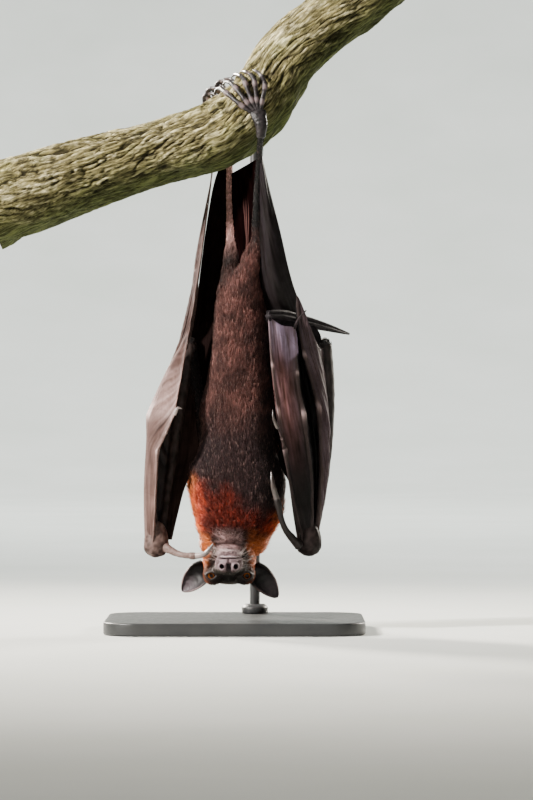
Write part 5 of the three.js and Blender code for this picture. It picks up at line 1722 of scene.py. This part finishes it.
def add_foot(name):
    """The instep and five toes with swollen joints, and their claws."""
    instep, toes = foot_lines(name)
    dark, pale = FOOT_TONES["dark"], FOOT_TONES["pale"]
    foot, claws = Body(), Body()
    shape = tube(Line(instep), INSTEP, 36, 50, (1, 0, 0), crease(81, 0.06, 40))
    add_limb(foot, shape, dark, mix(dark, pale, 0.4), 2.5, 76, -0.35, 0.35)
    for number, (toe, claw) in enumerate(toes):
        path = Line(toe)
        points, faces = tube(path, TOE, 22, 60, bumps=crease(90 + number, 0.09, 95))
        tone = mix(dark, pale, 0.75 * mottled(points, 1.8, 77, -0.35, 0.35))
        close = np.min([np.linalg.norm(points - knot, axis=1) for knot in path.along(TOE_JOINTS)], axis=0)
        foot.add(points, faces, laid(tone, FOOT_TONES["joint"], 0.6 * ramp(-close, -4.4, -2.4)))
        shape = tube(Line([toe[-1]] + claw), TOE_CLAW, 16, 30, tip=0.2)
        add_claw(claws, toe[-1], shape, FOOT_TONES["claw"], FOOT_TONES["claw_tip"], 0.5, 8)
    foot.made(f"foot_skin_{name}", "foot", [f"foot_{name}"])
    claws.made(f"foot_claws_{name}", "claw")


for foot_name in LEGS:
    add_foot(foot_name)

# ---------- stand ----------

BASE_WIDTH, BASE_DEPTH, BASE_HEIGHT, BASE_CORNER = 250.0, 216.0, 12.0, 36.0
ROD_X, ROD_Y, ROD_RADIUS = 19.0, 82.0, 5.0
ARM_HEIGHT = 494.0
ARM_END = 12.0  # inside the back of the branch
# Rings of the base's underside and lower edge: how far in from its outline, and height.
BASE_EDGE = [(60, 0), (20, 0), (5, 0), (1.5, 0), (0.75, 0.2), (0.15, 0.75), (0, 1.5)]
# The collar's outline: radius and height over the base.
COLLAR = [
    (5.2, 0.3), (12.4, 0.3), (13, 0.9), (13, 5.9), (12.7, 6.5), (10.4, 8.9), (9.6, 9.3), (5.2, 9.3),
]


def plate_ring(inset, height):
    """A rectangle with round corners, set in from the base's outline."""
    x, y = BASE_WIDTH / 2 - inset, BASE_DEPTH / 2 - inset
    r = max(BASE_CORNER - inset, 2.0) if inset < 30 else 6.0
    quarter = math.pi / 2
    a = np.linspace(0, quarter, 14) + np.arange(4)[:, None] * quarter
    side_x, side_y = np.array([[1, -1, -1, 1], [1, 1, -1, -1]])[..., None]
    ring = [side_x * (x - r) + r * np.cos(a), side_y * (y - r) + r * np.sin(a), np.full(a.shape, height)]
    return np.stack(ring, axis=-1).reshape(-1, 3)


def turned(profile, sides=64):
    """A closed round bar on the rod's axis, from rings of (radius, height)."""
    a = around(sides)
    rings = [[ROD_X + r * np.cos(a), ROD_Y + r * np.sin(a), np.full(sides, z)] for r, z in profile]
    low, high = profile[0][1], profile[-1][1]
    return capped(np.array(rings).transpose(0, 2, 1), (ROD_X, ROD_Y, low), (ROD_X, ROD_Y, high))


def rounded(radius, low, high, edge):
    """Rings of a bar with rounded edges at both ends."""
    turn = np.linspace(0, math.pi / 2, 6)
    foot = [(radius - edge + edge * math.sin(a), low + edge - edge * math.cos(a)) for a in turn]
    head = [(radius - edge + edge * math.cos(a), high - edge + edge * math.sin(a)) for a in turn]
    return foot + head


def add_stand():
    """The base plate, the rod, the arm with its boss and screw, and the collar at the rod's foot."""
    plate = BASE_EDGE + [(inset, BASE_HEIGHT - z) for inset, z in BASE_EDGE[::-1]]
    rings = np.array([plate_ring(inset, z) for inset, z in plate])
    arm = Line([(ROD_X, y, ARM_HEIGHT) for y in (ROD_Y, ROD_Y / 2, ARM_END)])
    screw = Line([(ROD_X + far, ROD_Y, ARM_HEIGHT - 5) for far in (6, 10, 12.5)])
    pieces = {
        "plate": ("base", [capped(rings, (0, 0, 0), (0, 0, BASE_HEIGHT))]),
        "upright": ("rod", [turned(rounded(ROD_RADIUS, 4, ARM_HEIGHT + 6, 0.5))]),
        "cross_arm": (
            "arm",
            [
                tube(arm, [(0, ROD_RADIUS), (1, ROD_RADIUS)], 48, 20, (1, 0, 0), tip=0.1),
                turned(rounded(9, ARM_HEIGHT - 13, ARM_HEIGHT + 13, 1.4)),
                tube(screw, [(0, 2.6), (1, 2.6)], 24, 8, tip=0.15),
            ],
        ),
        "foot_collar": ("collar", [turned([(r, BASE_HEIGHT + z) for r, z in COLLAR])]),
    }
    for name, (node, shapes) in pieces.items():
        piece = Body()
        for points, faces in shapes:
            piece.add(points, faces)
        piece.made(f"stand_{name}", "paint", [f"stand_{node}"])


add_stand()

# ---------- coat ----------

COAT_SHARE = 1.0
LOCK = 9  # tufts to a lock, whose tips draw together
# A tuft's points are three at its root, three at its bend and its tip.
TUFT_POINTS = 7
TUFT_FACES = np.array(
    [
        [0, 2, 1], [0, 3, 5], [0, 5, 2], [2, 5, 4], [2, 4, 1],
        [1, 4, 3], [1, 3, 0], [3, 6, 5], [5, 6, 4], [4, 6, 3],
    ]
)
# Where the points lie in the tuft's own square of the UV map.
TUFT_PATCH = np.array(
    [[0.1, 0.0], [0.9, 0.0], [0.5, 0.08], [0.22, 0.55], [0.78, 0.55], [0.5, 0.5], [0.5, 1.0]]
)
PATCH_SIZE, PATCH_SPAN, PATCH_MARGIN = 0.003, 0.99, 0.002
MOST_TUFTS = 19000  # in one piece
RUFF_TOP, WAIST = 142, 215  # heights where the coat's pieces meet
WHISKERS = 56
WHISKER = [(0, 0.09), (0.6, 0.075), (1, 0.035)]
WHISKER_TONES = palette(pale=(176, 158, 152), dark=(52, 40, 38))


def spread(code):
    """The bits of small whole numbers, three apart."""
    code = code.astype(np.int64) & 0x3FF
    for shift, mask in ((16, 0x30000FF), (8, 0x300F00F), (4, 0x30C30C3), (2, 0x9249249)):
        code = (code | (code << shift)) & mask
    return code


def roots_on(density, seed):
    """Evenly scattered places on the skin. density gives the tufts on a square millimetre at places."""
    rng = np.random.default_rng(seed)
    tri = np.vstack([SKIN_QUADS[:, [0, 1, 2]], SKIN_QUADS[:, [0, 2, 3]]])
    a, b, c = (SKIN_POINTS[tri[:, k]] for k in range(3))
    middle = (a + b + c) / 3
    area = np.linalg.norm(np.cross(b - a, c - a), axis=1) / 2
    cell = ((middle - middle.min(axis=0)) / 1.6).astype(int)
    x, y, z = (spread(cell[:, k]) << k for k in range(3))
    order = np.argsort(x | y | z, kind="stable")
    total = np.cumsum((area * density(middle))[order])
    count = int(total[-1])
    picks = (np.arange(count) + rng.random(count)) * (total[-1] / count)
    face = order[np.searchsorted(total, picks).clip(0, len(order) - 1)]
    r1, r2 = np.sqrt(rng.random((count, 1))), rng.random((count, 1))
    return (1 - r1) * a[face] + r1 * (1 - r2) * b[face] + r1 * r2 * c[face]


def coat_lie(at):
    """The way the hairs lie at each place, before they are laid along the skin."""
    p, (x, y, _) = at.body, at.head.T
    one = np.ones(len(p))
    aside = 0.45 * noise(p / 26, 81) + 0.10 * ramp(p[:, 2], 200, 260) + 0.004 * (p[:, 0] - 2) * at.mantle
    body = np.stack([aside, 0.35 * noise(p / 26, 82), one], axis=1)
    back_along = np.stack([0.35 * np.sign(x) * ramp(np.abs(x), 2, 10), one, 0.55 * ramp(-y, -30, 5)], axis=1)
    return laid(body, back_along, at.face)


def coat_shape(at):
    """Length, width and lift (radians from the skin) of the tufts at each place."""
    _, y, z = at.head.T
    on_face = 3.4 - 1.2 * ramp(y, -10, 12) + 1.2 * ramp(-z, 10, 16)
    length = at.blend(7.6 + 2.0 * at.mantle, face=on_face, muzzle=2.3) + 1.8 * at.muzzle * ramp(-z, 7, 11)
    length = at.blend(length, nose=0.9, shin=3.0, arm=4.6)
    width = at.blend(0.62 + 0.06 * at.mantle, face=0.42, muzzle=0.34, nose=0.2, shin=0.5, arm=0.65)
    lift = at.blend(0.26 + 0.40 * at.mantle, face=0.32, shin=0.25, arm=0.28)
    eye = ramp(near_eye(at.head), 0.2, 4.5)
    return length * mix(0.25, 1, eye), width * mix(0.6, 1, eye), lift * mix(0.6, 1, eye)


def coat_density(points):
    """Tufts on a square millimetre."""
    at = Places(points)
    many = at.blend(1.0 + 0.25 * at.mantle, face=2.6, leg=1.05, arm=0.75, muzzle=3.4)
    many = many * ramp(near_eye(at.head), 0.7, 1.5) * (1 - at.nose)
    lips = bell(mouth_line(at.head), 0.9) * ramp(at.head[:, 1], -8, 2) * at.face
    return many * (1 - 0.9 * lips) * COAT_SHARE


def unrolled(points):
    """Where roots lie on the skin unrolled round its length: their turn and their height."""
    middle = row_values(trunk_rows(1, 2), points[:, 2])
    turn = np.arctan2(points[:, 0] - middle[:, 0], middle[:, 1] - points[:, 1])
    return turn, points[:, 2]


def locked(points, tip, pull):
    """Tips drawn part of the way to that of the nearest of the tufts that lead a lock."""
    lead = np.arange(0, len(points), LOCK)
    tree = kdtree.KDTree(len(lead))
    for number, index in enumerate(lead):
        tree.insert(points[index], number)
    tree.balance()
    nearest = lead[[tree.find(p)[1] for p in points]]
    offset = points - points[nearest]
    close = np.linalg.norm(offset, axis=1) < 4.5
    return mix(tip, tip[nearest] + offset * 0.4, pull * close[:, None])


def tuft_tones(at, rng):
    """The colour of each tuft's seven points: dark roots, and pale tips on some locks."""
    count = len(at.body)
    clump = noise(at.body / np.array([2.1, 2.1, 3.6]), 84)
    strong = mix(mix(1.5, 1.8, at.mantle), 0.9, at.face)
    tone = marking(at) * (rng.uniform(0.75, 1.25, count) * np.exp(strong * clump))[:, None]
    often = 0.03 + 0.5 * ramp(clump, 0.05, 0.42)
    grizzled = rng.random(count) < often * (1 - 0.8 * at.mantle) * (1 - 0.92 * at.face)
    bright = np.where(grizzled[:, None], mix(COAT["grizzle"], tone * 3, 0.3), tone * 1.45)
    tones = np.empty((count, TUFT_POINTS, 3))
    tones[:, :3] = (tone * 0.42)[:, None]
    tones[:, 3:6] = (tone * 0.95)[:, None]
    tones[:, 6] = mix(tone * 1.3, bright, 0.7)
    return tones


def tufts(points, seed):
    """Points and colours of a thin tapering tuft, three-sided, at each root."""
    rng = np.random.default_rng(seed)
    at = Places(points)
    count = len(points)
    normal = unit(slope_of(body_distance, points, 0.2)[1])
    lie = coat_lie(at) + rng.normal(0, 0.10, (count, 3))
    along = unit(lie - normal * (lie * normal).sum(axis=1)[:, None])
    side = np.cross(normal, along)
    length, width, lift = coat_shape(at)
    length = length * rng.uniform(0.72, 1.25, count) * (1 + 0.25 * noise(points / 9, 83))
    width = width * rng.uniform(0.75, 1.25, count)
    lift = lift * rng.uniform(0.6, 1.35, count)
    tip = points + (along * np.cos(lift)[:, None] + normal * np.sin(lift)[:, None]) * length[:, None]
    tip = locked(points, tip, rng.uniform(0.05, 0.5, count)[:, None])
    rise = 0.5 + 0.12 * rng.random(count)
    bend = points + (tip - points) * rise[:, None] + normal * (0.14 * length * np.sin(lift + 0.25))[:, None]
    base = points - normal * 0.5
    half = side * (width / 2)[:, None]
    ridge = normal * (width * 0.42)[:, None]
    corners = [base - half * 0.9, base + half * 0.9, base + ridge - along * 0.2]
    corners += [bend - half * 0.8, bend + half * 0.8, bend + ridge, tip]
    return np.stack(corners, axis=1), tuft_tones(at, rng)


def add_coat(name, points, look, seed):
    """One piece of the coat, with a patch of the UV map for each tuft."""
    shape, tone = tufts(points, seed)
    faces = (np.arange(len(points))[:, None, None] * TUFT_POINTS + TUFT_FACES).reshape(-1, 3)
    obj = make_object(name, shape.reshape(-1, 3), [faces], look, tone=tone.reshape(-1, 3))
    place = np.stack(unrolled(points), axis=1)
    place = (place - place.min(axis=0)) / np.maximum(np.ptp(place, axis=0), 1e-6)
    patch = (place * PATCH_SPAN + PATCH_MARGIN)[:, None] + TUFT_PATCH * PATCH_SIZE
    layer = obj.data.uv_layers.new(name="OFBake")
    layer.data.foreach_set("uv", patch.reshape(-1, 2)[faces.ravel()].astype(np.float32).ravel())


def coat_pieces(points):
    """A name, a mask and a look for each stretch of the coat."""
    at = Places(points)
    high = points[:, 2]
    front = points[:, 1] < row_values(trunk_rows(2), high)[:, 0]
    face = at.face > 0.5
    ruff = (high < RUFF_TOP) & ~face
    limb = ((at.leg > 0.5) | (at.arm > 0.5)) & ~face & ~ruff
    trunk = ~face & ~ruff & ~limb
    yield "coat_face", face & (at.head[:, 1] >= 0), "fur"
    yield "coat_crown", face & (at.head[:, 1] < 0), "fur"
    yield "coat_mantle_front", ruff & front, "mantle"
    yield "coat_mantle_back", ruff & ~front, "mantle"
    for side, mask in (("belly", front), ("back", ~front)):
        yield f"coat_{side}_low", trunk & mask & (high < WAIST), "fur"
        yield f"coat_{side}_high", trunk & mask & (high >= WAIST), "fur"
    yield "coat_limbs", limb, "fur"


def add_coats():
    roots = roots_on(coat_density, SEED)
    for number, (name, mask, look) in enumerate(coat_pieces(roots)):
        part = roots[mask]
        pieces = np.array_split(part[np.argsort(part[:, 2])], math.ceil(len(part) / MOST_TUFTS))
        for k, piece in enumerate(pieces):
            add_coat(f"{name}_{k + 1}" if len(pieces) > 1 else name, piece, look, 100 + 10 * number + k)


def add_whiskers():
    """Thin curved bristles from the cheeks, lips and chin."""
    rng = np.random.default_rng(SEED + 1)
    count = WHISKERS
    side = np.where(np.arange(count) % 2, -1.0, 1.0)
    start = [side * rng.uniform(8, 15, count), rng.uniform(10, 37, count), rng.uniform(-15, -1, count)]
    roots = from_head(np.stack(start, axis=1))
    for _ in range(12):
        here, slope = slope_of(body_distance, roots, 0.2)
        roots = roots - 0.8 * here[:, None] * unit(slope)
    outward = unit(slope)
    drift = np.stack([0.5 * side, np.full(count, 0.15), np.full(count, 0.35)], axis=1)
    way = unit(outward + drift + rng.normal(0, 0.25, (count, 3)))
    long = rng.uniform(6, 14, count)[:, None]
    droop = np.stack([np.zeros(count), np.full(count, 0.3), 0.25 * rng.normal(size=count)], axis=1)
    middle, end = roots + way * long * 0.5, roots + (way + droop) * long
    whiskers = Body()
    for k in range(count):
        path = Line([roots[k] - outward[k], middle[k], end[k]])
        whiskers.add(*tube(path, WHISKER, 4, 8), WHISKER_TONES["pale" if k % 3 else "dark"])
    whiskers.made("whiskers", "fur")


add_coats()
add_whiskers()
